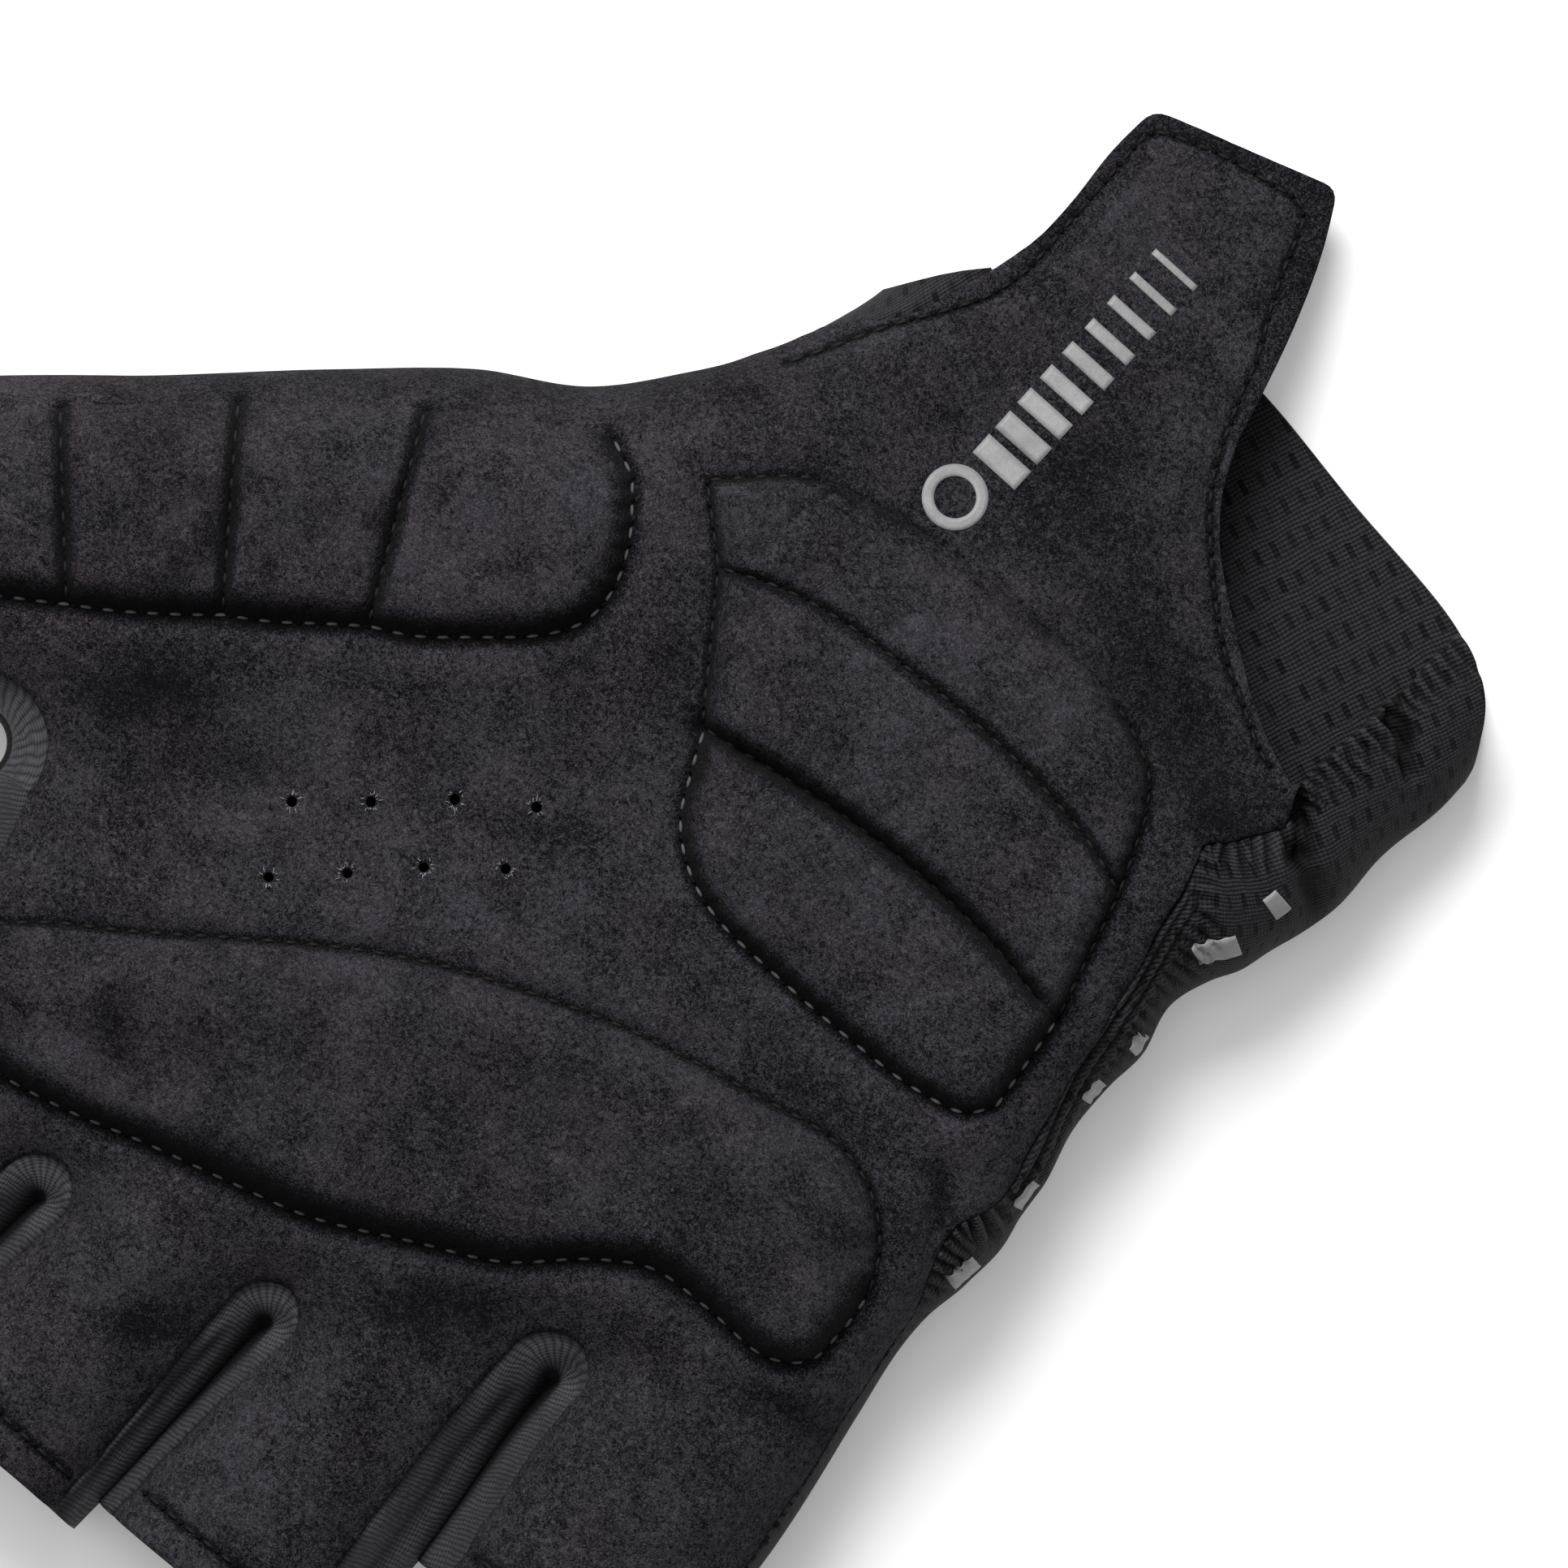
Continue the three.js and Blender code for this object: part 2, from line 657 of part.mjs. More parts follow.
const ulnarShares = [ULNAR_CORNER_Y, ULNAR_BASE_Y].map((y) => shareAtY(ulnarCurve, y));
const thenarShares = [THENAR_CUFF_Y, THENAR_BASE_Y].map((y) => shareAtY(thenarCurve, y));
const palmShares = evenShares(PALM_ROWS);
const ulnarPalm = stationsAlong(ulnarCurve, ...ulnarShares, palmShares, -1);
const ulnarFinger = stationsAlong(ulnarCurve, ulnarShares[1], 1, FINGER_SHARES, -1);
const thenarPalm = stationsAlong(thenarCurve, 0, thenarShares[1], palmShares, 1);
const thenarKnit = stationsAlong(thenarCurve, ...thenarShares, palmShares, 1);
const thenarFinger = stationsAlong(thenarCurve, thenarShares[1], 1, FINGER_SHARES, 1);

const HALF_GAP = SEAM_GAP / 2;
const palmSeamWay = (station) => wayAtInset(station.extra);
const wrapWay = (station) => ROLL * radians(station.extra);
const palmSeam = (station) => rollPoint(station, palmSeamWay(station) + HALF_GAP);
const underSeam = (station) => rollPoint(station, -UNDER_FINGER_SEAM - HALF_GAP);
const firstOf = (row) => row[0];

// Directions along which the line between two crotches leaves them, from the little finger to the thumb
const baseDirections = [
  ulnarFinger[0].inward,
  ...slitSides.map(({ left }) => new THREE.Vector2(-left[0].inward.y, left[0].inward.x)),
  thenarFinger[0].inward.clone().negate(),
];

// How far the line across the root of a finger bends off the straight line between its ends
function rootBow(finger, start, end) {
  const [from, to] = [baseDirections[finger], baseDirections[finger + 1]];
  const span = Math.hypot(end.x - start.x, end.y - start.y);
  return (s) => {
    const [leave, arrive] = [span * s * (1 - s) ** 2, -span * s * s * (1 - s)];
    const slide = s * s * (3 - 2 * s) - s;
    return {
      x: leave * from.x + arrive * to.x + slide * (end.x - start.x),
      y: leave * from.y + arrive * to.y + slide * (end.y - start.y),
    };
  };
}

// Shares across a strip, drawn to both its edges by an amount from 0 to 1
const drawnApart = (s, amount) => s - (amount * EDGE_DRAW * Math.sin(2 * Math.PI * s)) / (2 * Math.PI);

// Five strips of the hand, each with the line across its finger's root bent; edges are its six long lines
function handStrips(edges, side, columns, spread, wristBow) {
  const rows = edges[0].length - 1;
  return edges.slice(1).map((right, i) => {
    const left = edges[i];
    const atRoot = rootBow(i, left[rows], right[rows]);
    const share = (s, row) => drawnApart(s ** spread(i, row / rows), (row / rows) ** 3);
    const bow = (s, row) => {
      const [wrist, root] = [wristBow(i, s), atRoot(s)];
      const [wristFade, rootFade] = [(1 - row / rows) ** 3, (row / rows) ** 5];
      return { x: wrist.x * wristFade + root.x * rootFade, y: wrist.y * wristFade + root.y * rootFade };
    };
    return stripBetween(left, right, columns(i), side, share, bow);
  });
}

// The five fingers' strips, between the two edges of the hand and the sides of the slits
function fingerStrips(ulnarLine, thenarLine, seam, side, columns, spread) {
  const lefts = [ulnarLine, ...slitSides.map(({ right }) => right.map(seam))];
  const rights = [...slitSides.map(({ left }) => left.map(seam)), thenarLine];
  const rows = ulnarLine.length - 1;
  return lefts.map((left, i) => {
    const right = rights[i];
    const atRoot = rootBow(i, left[0], right[0]);
    const share = (s, row) => drawnApart(s ** spread(i, 1), 1 - row / rows);
    const bow = (s, row) => {
      const root = atRoot(s);
      const fade = (1 - row / rows) ** 3;
      return { x: root.x * fade, y: root.y * fade };
    };
    return stripBetween(left, right, columns(i), side, share, bow);
  });
}

function palmSurface() {
  const rollSide = (stations) =>
    rollBetween(stations, THENAR_COLUMNS, () => PALM_SIDE_LINE, (s) => wrapWay(s) + HALF_GAP);
  const [thumbSide, thumbFingerSide] = [rollSide(thenarPalm), rollSide(thenarFinger)];
  const edges = [
    ulnarPalm.map(palmSeam),
    ...TAB_ROOT.map((root, i) => lineTo(root, palmSeam(slitSides[i].left[0]), PALM_ROWS, 1)),
    thumbSide.map(firstOf),
  ];
  const wrist = curveThrough(WRIST_EDGE);
  const [corner, root] = [edges[0][0], TAB_ROOT[0]];
  const wristBow = (strip, s) => {
    if (strip) return { x: 0, y: 0 };
    const place = wrist.getPointAt(s);
    return {
      x: place.x - THREE.MathUtils.lerp(corner.x, root.x, s),
      y: place.y - THREE.MathUtils.lerp(corner.y, root.y, s),
    };
  };
  const columns = (strip) => (strip ? STRIP_COLUMNS : ULNAR_COLUMNS);
  const spread = (strip, along) => (strip ? 1 : 1 + ULNAR_SPREAD * along);
  const strips = handStrips(edges, 1, columns, spread, wristBow);
  const ends = [ulnarFinger.map(palmSeam), thumbFingerSide.map(firstOf)];
  const fingers = fingerStrips(...ends, palmSeam, 1, columns, spread);
  const tab = tabSurface([...strips.slice(1), thumbSide]);
  return [...strips, thumbSide, ...fingers, thumbFingerSide, tab];
}

// The pull tab carries on from the palm's first row, between its own two edges
function tabSurface(strips) {
  const root = strips.flatMap((grid, i) => (i ? grid[0].slice(1) : grid[0]));
  const [first, last] = [root[0], root[root.length - 1]];
  const left = curveThrough(TAB_LEFT);
  const right = curveThrough(TAB_RIGHT);
  const rows = evenShares(TAB_ROWS).slice(1).map((share) => {
    const [start, end] = [left.getPoint(share), right.getPoint(share)];
    return root.map((point) => {
      const place = start.clone().lerp(end, (point.x - first.x) / (last.x - first.x));
      return surfacePoint(place.x, place.y, 1);
    });
  });
  return [root, ...rows];
}

// Grid of the cuff round one edge of the hand, from the rim to a share of the edge's length
function cuffRoll(curve, inwardTurn, highShare, columns, fromWay, toWay) {
  const lines = evenShares(columns).map((s) => {
    const pointAt = (share) => {
      const station = stationAt(curve, share, inwardTurn);
      return rollPoint(station, THREE.MathUtils.lerp(fromWay(station), toWay(station), s));
    };
    const rim = turningShare(0, highShare, (share) => {
      const point = pointAt(share);
      return point.y < rimY(point.x);
    });
    return evenShares(CUFF_ROWS).map((share) => pointAt(THREE.MathUtils.lerp(rim, highShare, share)));
  });
  return lines[0].map((_, row) => lines.map((line) => line[row]));
}

function backSurface() {
  const underWay = () => -UNDER_EDGE;
  const ulnarTop = (station) => palmSeamWay(station) - HALF_GAP;
  const thenarTop = (station) => wrapWay(station) - HALF_GAP;
  const ulnarRoll = (stations) => rollBetween(stations, ULNAR_COLUMNS, underWay, ulnarTop);
  const thenarRoll = (stations) => rollBetween(stations, THENAR_COLUMNS, underWay, thenarTop);
  const ulnarCuff = cuffRoll(ulnarCurve, -1, ulnarShares[0], ULNAR_COLUMNS, underWay, ulnarTop);
  const thenarCuff = cuffRoll(thenarCurve, 1, thenarShares[0], THENAR_COLUMNS, underWay, thenarTop);
  const [ulnarSide, thenarSide] = [ulnarRoll(ulnarPalm), thenarRoll(thenarKnit)];
  const [ulnarFingerSide, thenarFingerSide] = [ulnarRoll(ulnarFinger), thenarRoll(thenarFinger)];
  const rows = CUFF_ROWS + PALM_ROWS;
  const edges = [
    [...ulnarCuff, ...ulnarSide.slice(1)].map(firstOf),
    ...RIM_STARTS.map((x, i) => lineTo({ x, y: rimY(x) }, underSeam(slitSides[i].left[0]), rows, -1)),
    [...thenarCuff, ...thenarSide.slice(1)].map(firstOf),
  ];
  const rimBow = (strip, s) => {
    const [left, right] = [edges[strip][0], edges[strip + 1][0]];
    const x = THREE.MathUtils.lerp(left.x, right.x, s);
    return { x: 0, y: rimY(x) - THREE.MathUtils.lerp(left.y, right.y, s) };
  };
  const [columns, spread] = [() => BACK_COLUMNS, () => 1];
  const strips = handStrips(edges, -1, columns, spread, rimBow);
  const ends = [ulnarFingerSide.map(firstOf), thenarFingerSide.map(firstOf)];
  const fingers = fingerStrips(...ends, underSeam, -1, columns, spread);
  const sides = [ulnarCuff, ulnarSide, ulnarFingerSide, thenarCuff, thenarSide, thenarFingerSide];
  return [...sides, ...strips, ...fingers];
}

function fourchetteSurface({ left, right }) {
  const stations = [...left.slice().reverse(), ...right.slice(1)];
  const top = (station) => palmSeamWay(station) - HALF_GAP;
  return [rollBetween(stations, FOURCHETTE_COLUMNS, top, () => HALF_GAP - UNDER_FINGER_SEAM)];
}

// A closed cushion that lies on the palm: thin at its edges and puffed inside
function padGeometry({ puff, along, across, sections }) {
  const [a, b] = ["a", "b"].map((edge) =>
    curveThrough(sections.map((row) => ({ x: row[`${edge}x`], y: row[`${edge}y`] }))),
  );
  const bases = new Map();
  const grid = evenShares(along).map((u) => {
    const [start, end] = [a.getPoint(u), b.getPoint(u)];
    const margin = Math.min(PAD_EDGE_INSET / start.distanceTo(end), MOST_PAD_MARGIN);
    return evenShares(across).map((v) => {
      const place = start.clone().lerp(end, margin + (1 - 2 * margin) * v);
      const seat = surfacePoint(place.x, place.y, 1);
      const outward = outwardAt(seat);
      const roundEnds = 1 - Math.abs(2 * u - 1) ** 6;
      const roundSides = 1 - Math.abs(2 * v - 1) ** 2.5;
      const thickness = PAD_EDGE_THICK + puff * Math.sqrt(roundEnds * roundSides);
      const base = seat.clone().addScaledVector(outward, PAD_CLEARANCE);
      const point = base.clone().addScaledVector(outward, thickness);
      bases.set(point, base);
      return point;
    });
  });
  return shell([grid], (point) => bases.get(point));
}

// The second layer of the pull tab, under the suede tongue
function backingGeometry() {
  const left = curveThrough([{ x: BACKING.leftX, y: BACKING.rootY }, ...TAB_LEFT]);
  const right = curveThrough([{ x: BACKING.rightX, y: BACKING.rootY }, ...TAB_RIGHT]);
  const under = SUEDE_THICK + BACKING.gap;
  const grid = evenShares(BACKING.rows).map((share) => {
    const [start, end] = [left.getPoint(share), right.getPoint(share)];
    const margin = BACKING.side / start.distanceTo(end);
    return evenShares(BACKING.columns).map((s) => {
      const place = start.clone().lerp(end, margin + (1 - 2 * margin) * s);
      const above = surfacePoint(place.x, place.y, 1);
      return above.addScaledVector(outwardAt(above), -under);
    });
  });
  return cloth([grid], SUEDE_THICK);
}

const wasm = await Module();
wasm.setup();

function solidOf(geometry) {
  return new wasm.Manifold(
    new wasm.Mesh({
      numProp: 3,
      vertProperties: new Float32Array(geometry.getAttribute("position").array),
      triVerts: new Uint32Array(geometry.getIndex().array),
    }),
  );
}

function geometryOf(solid) {
  const mesh = solid.getMesh();
  const geometry = new THREE.BufferGeometry();
  geometry.setAttribute("position", new THREE.BufferAttribute(mesh.vertProperties, 3));
  geometry.setIndex(new THREE.BufferAttribute(mesh.triVerts, 1));
  return geometry;
}

function withVents(geometry) {
  let solid = solidOf(geometry);
  for (const { x, y } of VENTS) {
    const punch = new THREE.CylinderGeometry(VENT_RADIUS, VENT_RADIUS, VENT_PUNCH, VENT_SIDES);
    punch.deleteAttribute("normal");
    punch.deleteAttribute("uv");
    punch.rotateX(HALF_PI).translate(x, y, palmHeight(x, y));
    solid = solid.subtract(solidOf(mergeVertices(punch)));
  }
  return geometryOf(solid);
}

const glove = new THREE.Group();
glove.position.set(-DRAWING_CENTRE.x, -DRAWING_CENTRE.y, 0);

function addPiece(name, geometry, finish) {
  geometry.computeVertexNormals();
  const mesh = new THREE.Mesh(geometry, new THREE.MeshStandardMaterial(finish));
  mesh.name = name;
  glove.add(mesh);
}

addPiece("palm_panel", withVents(cloth(palmSurface(), SUEDE_THICK)), FINISHES.suede);
addPiece("back_panel", cloth(backSurface(), KNIT_THICK), FINISHES.knit);
SLITS.forEach((slit, i) => {
  addPiece(slit.name, cloth(fourchetteSurface(slitSides[i]), JERSEY_THICK), FINISHES.jersey);
});
for (const pad of PADS) addPiece(pad.name, padGeometry(pad), FINISHES.suede);
addPiece("pull_tab_backing", backingGeometry(), FINISHES.suede);

export default glove;
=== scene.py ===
"""A right-hand half-finger cycling glove, lying on its back with the palm up."""

import math
from collections import namedtuple

import bpy
import numpy as np
from bpy.props import FloatProperty, FloatVectorProperty, IntProperty, PointerProperty
from mathutils import Matrix, Vector
from mathutils.geometry import delaunay_2d_cdt
from mathutils.kdtree import KDTree


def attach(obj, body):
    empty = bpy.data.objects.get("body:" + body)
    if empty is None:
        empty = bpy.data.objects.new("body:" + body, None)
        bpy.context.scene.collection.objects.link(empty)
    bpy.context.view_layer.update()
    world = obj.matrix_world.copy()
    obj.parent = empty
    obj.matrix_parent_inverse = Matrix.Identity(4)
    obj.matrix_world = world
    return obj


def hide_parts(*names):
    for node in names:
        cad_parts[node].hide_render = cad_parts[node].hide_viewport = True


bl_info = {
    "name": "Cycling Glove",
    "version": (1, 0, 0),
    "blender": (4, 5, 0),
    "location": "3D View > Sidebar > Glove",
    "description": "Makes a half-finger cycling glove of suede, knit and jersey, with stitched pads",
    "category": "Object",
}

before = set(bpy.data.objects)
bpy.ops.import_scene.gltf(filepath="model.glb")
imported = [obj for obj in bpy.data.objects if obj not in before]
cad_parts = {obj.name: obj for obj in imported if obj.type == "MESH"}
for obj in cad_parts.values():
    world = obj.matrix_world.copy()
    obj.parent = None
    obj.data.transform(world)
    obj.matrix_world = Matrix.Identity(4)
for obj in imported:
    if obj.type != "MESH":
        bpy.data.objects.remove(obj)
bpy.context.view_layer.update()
BODY = "root"

# Tables in millimetres in the drawing's frame: +X to the thumb, +Y to the fingers, +Z out of the palm
MM = 0.001
DRAWING_CENTRE = (22.975, 5.13)

# The rolled edge of the body and how far round it the seams lie
ROLL = 12
MIDDLE_SHARE = 0.46
UNDER_EDGE = 14
UNDER_FINGER_SEAM = 11
PALM_SIDE_LINE = 16.5
HALF_GAP = 0.17

# Fineness of the cloth meshes, in rows and columns
CUFF_ROWS = 60
PALM_ROWS = 240
ARC_ROWS = 18
SIDE_ROWS = 38
ULNAR_COLUMNS = 60
THENAR_COLUMNS = 18
FOURCHETTE_COLUMNS = 34
PALM_STEP = 0.65
BACK_STEP = 1.1

# Height of the palm's surface over the floor: y, height
HEIGHTS = (
    (-100, 6.2), (-86, 7.8), (-75, 10), (-62, 12.8), (-50, 15.6), (-38, 18.4), (-20, 20.8),
    (0, 21.8), (30, 22), (50, 21.2), (66, 20.2), (80, 19.4), (110, 18.8),
)
THUMB_DROP = (55, 92, 2.4)
# Soft hollows: x, y, turn of the long way in degrees from +X, long, wide, depth
FOLDS = (
    (-27, -36, -3, 11, 3, 1.7),
    (-41, 14.6, -48, 3.6, 1.5, 1.5),
    (-16, 14.6, 5, 16, 1.3, -0.5),
    (-44, 40.5, 10, 6, 1.8, 0.9),
    (27, 21, 42, 27, 6, 1.1),
    (6, -43, 4, 16, 4.5, 0.9),
    (-8, 14, 6, 24, 3.4, 0.6),
    (-44, -50.5, -35, 7, 1.9, 1.6),
    (-42, -36, 30, 4, 3, 1.5),
    (-11, 55.5, 42, 8, 2.6, 1.1),
    (8, 73, 40, 8, 2.8, 1),
    (-30, 46, 50, 7, 2.6, 0.6),
)
# Soft dark patches, partly nap flattened by brushing and partly painted shade in the hollows, above the
# finger crotches and below the pads' rims; a negative value makes a patch lighter: x, y, turn of the long way
# in degrees from +X, long, wide, how dark
BRUSHED_AND_SHADED = (
    (-26, -36, -14, 12, 4.4, 0.7),
    (-8, -47, 12, 17, 9, 0.4),
    (-2, -35, 10, 22, 8, 0.15),
    (-36, -32, 40, 5, 4, 0.5),
    (0, -60, -70, 16, 6, 0.15),
    (51, 30, 42, 8, 4, 0.9),
    (39.6, 28.9, 42, 6, 2, 0.6),
    (30.7, 56.2, 42, 2.5, 4, 0.7),
    (-36.7, 23.7, 42, 3, 2, 0.6),
    (8, 75.4, 42, 6, 2.2, 1),
    (-12.6, 55, 42, 7.5, 3.1, 1.1),
    (38, -4, 42, 22, 8, -0.5),
    (-34.5, 46, 50, 9, 7, 0.14),
    (12.7, 57.7, 18, 7, 2, 0.6),
    (-41, 14.6, -48, 3.2, 1.4, 1),
    (45, 1.6, 60, 2.6, 1.9, 0.9),
    (41.6, -3.9, 92, 3.4, 1.1, 0.7),
    (31.9, -4.4, 53, 5, 1, 0.6),
    (50, 12.3, 95, 2.4, 1.1, 0.6),
    (56.3, 15.2, 95, 7, 1.6, 0.6),
    (10.2, -31.7, 14, 7, 0.8, 0.8),
    (-11.4, -34, 3, 9, 1, 0.4),
    (13, -6.4, -48, 8, 3, 0.4),
    (-44, 40.5, 10, 6, 2, 0.7),
    (45, -18, 42, 36, 4, 0.6),
    (-20, 15, 5, 14, 3, 0.35),
    (64, 14, 42, 7, 7, 0.28),
    (43, 22, 42, 12, 4, 0.18),
    (20, 49, 42, 12, 6, 0.2),
    (-28, 26, 42, 7, 6, 0.17),
    (-5, 33, 42, 8, 5, 0.12),
    (29, -21, 42, 10, 4, 0.2),
    (-11, -3, 42, 8, 5, -0.14),
)
# Little-finger edge: x, y, how far in the palm's seam or the cuff's free edge lies
ULNAR_EDGE = (
    (-52.9, -62, 11.2), (-52.1, -50, 11), (-50.9, -38.5, 10.8), (-50.6, -35, 9), (-50.4, -31.5, 10.9),
    (-50.1, -28, 12.1), (-49.2, -25, 12.7), (-48.2, -22.5, 12.5),
    (-46.3, -19.3, 8.2), (-45.5, -15, 5), (-46.3, -10, 5.1), (-45.7, -5, 3.8), (-47.3, 5, 2.9),
    (-47.9, 9.7, 2.5), (-49.1, 14.5, 5), (-48.6, 19.3, 4.3), (-47.8, 24.5, 1.3), (-49.3, 36, 1),
    (-51.5, 48, 1), (-52.4, 62, 1), (-52, 73.6, 1),
)
ULNAR_CORNER_Y = -38.5
ULNAR_BASE_Y = 50
# Thumb edge: x, y, angle round the roll at which the suede ends
THENAR_EDGE = (
    (23, -57.5, 62), (23.2, -50, 48), (24.9, -43, 22), (27.8, -36.5, -5), (32, -29.8, -20),
    (38.7, -21.8, -20), (48, -15.7, -20), (57.5, -7.2, -20), (71, 5.8, -20), (84.8, 18.4, -20),
    (98.3, 33.4, -20),
)
THENAR_CUFF_Y = -39.8
THENAR_BASE_Y = 14.1
RUN_OUT = 45
THENAR_RUN_OUT = ((40, -100), (33, -80), (28, -69), (24.4, -62))
CUFF_RIM = (
    (-52.4, -49.5), (-51.6, -53), (-48, -58.2), (-42, -61.4), (-25, -64), (-12, -66), (-4, -66.4), (4, -65.4),
    (10, -62.9), (15, -59), (19, -54.8), (23.4, -48.5),
)
# Slits between the fingers: the round end, the facing edges, and how far from them the suede stops
Slit = namedtuple("Slit", "name centre radius angles left right inset")
SLITS = (
    Slit("fourchette_little_ring", (-24.3, 53.8), 0.6, (180, 360),
         ((-25.7, 60), (-27.4, 68), (-28.8, 75.4)), ((-23.9, 62), (-24.4, 76), (-24.7, 91.4)),
         (4.1, 4.1, 4.1, 4.1, 4.3, 4, 3.4, 3)),
    Slit("fourchette_ring_middle", (0.5, 68.7), 0.6, (180, 360),
         ((-0.1, 76), (-0.2, 84), (-0.4, 92.6)), ((1.2, 76), (1.6, 86), (2, 96.2)),
         (3.7, 3.6, 3.5, 3.4, 3.3, 2.4, 1.8, 1.6)),
    Slit("fourchette_middle_index", (25.4, 74.5), 0.6, (180, 360),
         ((24.9, 82), (25.1, 89), (25.3, 96.2)), ((26.6, 82), (27.4, 88), (28.2, 92.6)),
         (3.7, 3.6, 3.5, 3.4, 3.3, 2.6, 2.1, 1.8)),
    Slit("thumb_web", (60.2, 45), 3.2, (180, 311.5),
         ((54.2, 55), (52.7, 66), (52.2, 79), (52.6, 92)), ((68, 46.8), (73.5, 51), (79, 55.2)),
         (4, 4, 4, 4, 3.8, 3.4, 3.1, 3)),
)
SLIT_ARC_SHARE = 3
WRIST_EDGE = (
    (-40.1, -38.6), (-35, -40.6), (-31, -42.7), (-27, -45.4), (-22, -48.9), (-18, -52.2), (-14.8, -56.3),
    (-12.6, -61),
)
TAB_LEFT = ((-12.6, -61), (-11.2, -66.5), (-9.1, -73.5), (-6.5, -80.2), (-3.4, -86.1))
TAB_RIGHT = ((16.5, -57.2), (15.4, -62), (15.2, -67.5), (15.6, -74), (15.3, -79.6))
BACKING_ROOT = ((-9, -50), (12, -50))

# Pads: the two edges that each cell lies between
Pad = namedtuple("Pad", "name a b")
HEEL_TOP = (
    (-38.9, 4), (-37, 6.6), (-32, 8.1), (-24, 8.8), (-14, 9), (-6, 8.7), (-1, 7.1), (3, 4), (5.6, -0.6),
    (7.2, -4))
HEEL_CHANNEL = (
    (-37.6, -6.4), (-34.3, -6.6), (-28.8, -7.5), (-18.8, -7.9), (-8.8, -7.2), (-1.3, -6), (4, -5),
    (7.6, -4.3))
HEEL_DIVIDER = (
    (-33.9, -19.6), (-28.1, -21.4), (-17.5, -22.6), (-5, -22.3), (5, -21.2), (11, -19.7), (17, -17.1))
HEEL_BOTTOM = (
    (-30.8, -27), (-28.1, -30.4), (-21.3, -33.3), (-11.3, -34.1), (-1, -33.8), (7.5, -32.6), (15.6, -30.1),
    (23.6, -22.8))
HEEL_PADS = (
    Pad("ulnar_pad_upper", HEEL_TOP, HEEL_CHANNEL),
    Pad("ulnar_pad_middle", HEEL_CHANNEL, HEEL_DIVIDER),
    Pad("ulnar_pad_lower", HEEL_DIVIDER, HEEL_BOTTOM),
)
KNUCKLE_PAD = Pad(
    "metacarpal_pad",
    ((-42.4, 30), (-42, 35), (-38.5, 37.6), (-31, 37.9), (-24.5, 38.6), (-19.5, 41.8), (-13, 48), (-5, 52.5),
     (4, 57.4), (12, 60.1), (21, 62.9), (30, 66), (38, 67.6), (44.5, 66.6), (48, 62.4)),
    ((-42, 26.4), (-40.2, 22.8), (-37, 19.6), (-32.5, 17.6), (-28, 17.4), (-21, 19), (-13.5, 20.8), (-6, 23),
     (2, 26.2), (10, 29.8), (18, 34.6), (27, 41.2), (36, 48.3), (42.5, 53), (47, 57.2)))
THUMB_PADS = (
    Pad("thenar_pad_1",
        ((29.2, -18), (25.2, -13), (23.2, -8.2), (23.3, -4.2), (25.6, -0.4), (30.4, 4.2), (34.8, 8),
         (38.8, 10.3)),
        ((33.4, -19.7), (36.4, -18), (39, -16.4), (41.4, -14.9), (43.6, -13.4), (45.6, -12), (47.2, -10.6),
         (48.9, -9.3))),
    Pad("thenar_pad_2", ((38.8, 10.3), (42.4, 13.2), (46, 16.2), (50.2, 19.1)),
        ((48.9, -9.3), (53.4, -5.6), (58, -1.9), (63.2, 2.4))),
    Pad("thenar_pad_3", ((50.2, 19.1), (54, 22.4), (58, 25.6), (62.3, 28.6)),
        ((63.2, 2.4), (67.6, 6.6), (71.6, 10.4), (75.9, 14.6))),
    Pad("thenar_pad_4", ((62.3, 28.6), (66.2, 31.3), (69.8, 33.7), (73.6, 35.4)),
        ((75.9, 14.6), (79.6, 18.6), (82.6, 22.4), (83.2, 27.4))),
)
# Fineness of a pad's cover, in millimetres
PAD_STEP = 0.6

# Stitches: their pitch, the share of it that shows, and the thread's rise and radius along each one
STITCH_PITCH = 2.2
STITCH_SHOWN = (0.23, 0.77)
STITCH_RISE = (-0.3, 0.02, 0.1, 0.1, 0.02, -0.3)
STITCH_RADII = (0.11, 0.16, 0.19, 0.19, 0.16, 0.11)
NEEDLE_DEPTH = 0.4
NEEDLE_RADII = (0.2, 0.32)
HEM = 4
WRIST_STITCHES = (
    (-36.5, -38.9), (-34.4, -39.6), (-30, -42), (-26.9, -43.6), (-23, -46.4), (-17.5, -51.4), (-14.4, -54.9),
    (-12.2, -58.5), (-11.3, -61), (-9.7, -65), (-8.8, -68), (-6.3, -73), (-5, -76), (-3.8, -79.3),
    (-2.8, -81.6), (-1.3, -82.5), (1.3, -82.1), (6.3, -81.1), (10, -79.9), (13.6, -78.2), (14.2, -77),
    (14.2, -71.8), (14.1, -65.5), (14.1, -59.3), (15.2, -55), (17.4, -51), (20.2, -46.6), (23.2, -41),
    (25.6, -36.6),
)
FIBRE_RADII = (0.04, 0.045, 0.04, 0.03, 0.015)
VENT_RADIUS = 0.6
VENT_SIDES = 14
VENTS = (
    (12.7, 19), (18.8, 24.3), (24, 29.8), (29.5, 35.3), (14.5, 12.5), (21, 17.3), (27, 23), (32.8, 28.2),
)

# The photograph's frame: its middle and up direction in the drawing, and its width at the palm
PHOTO_MIDDLE = (-2.1, -5.55)
PHOTO_UP = (0.669131, -0.743145)
PHOTO_WIDTH = 154.56
CAMERA_HEIGHT = 3000
PALM_TOP = 22


def hump(distance, half, power=2):
    """A soft bump: 1 at no distance, falling to 0 past half its width."""
    return np.exp(-(distance / half) ** power)


def srgb(red, green, blue):
    """Linear colour of an 8-bit screen colour."""
    def linear(value):
        value /= 255
        return value / 12.92 if value <= 0.04045 else ((value + 0.055) / 1.055) ** 2.4
    return tuple(linear(value) for value in (red, green, blue))


# Curves in plan

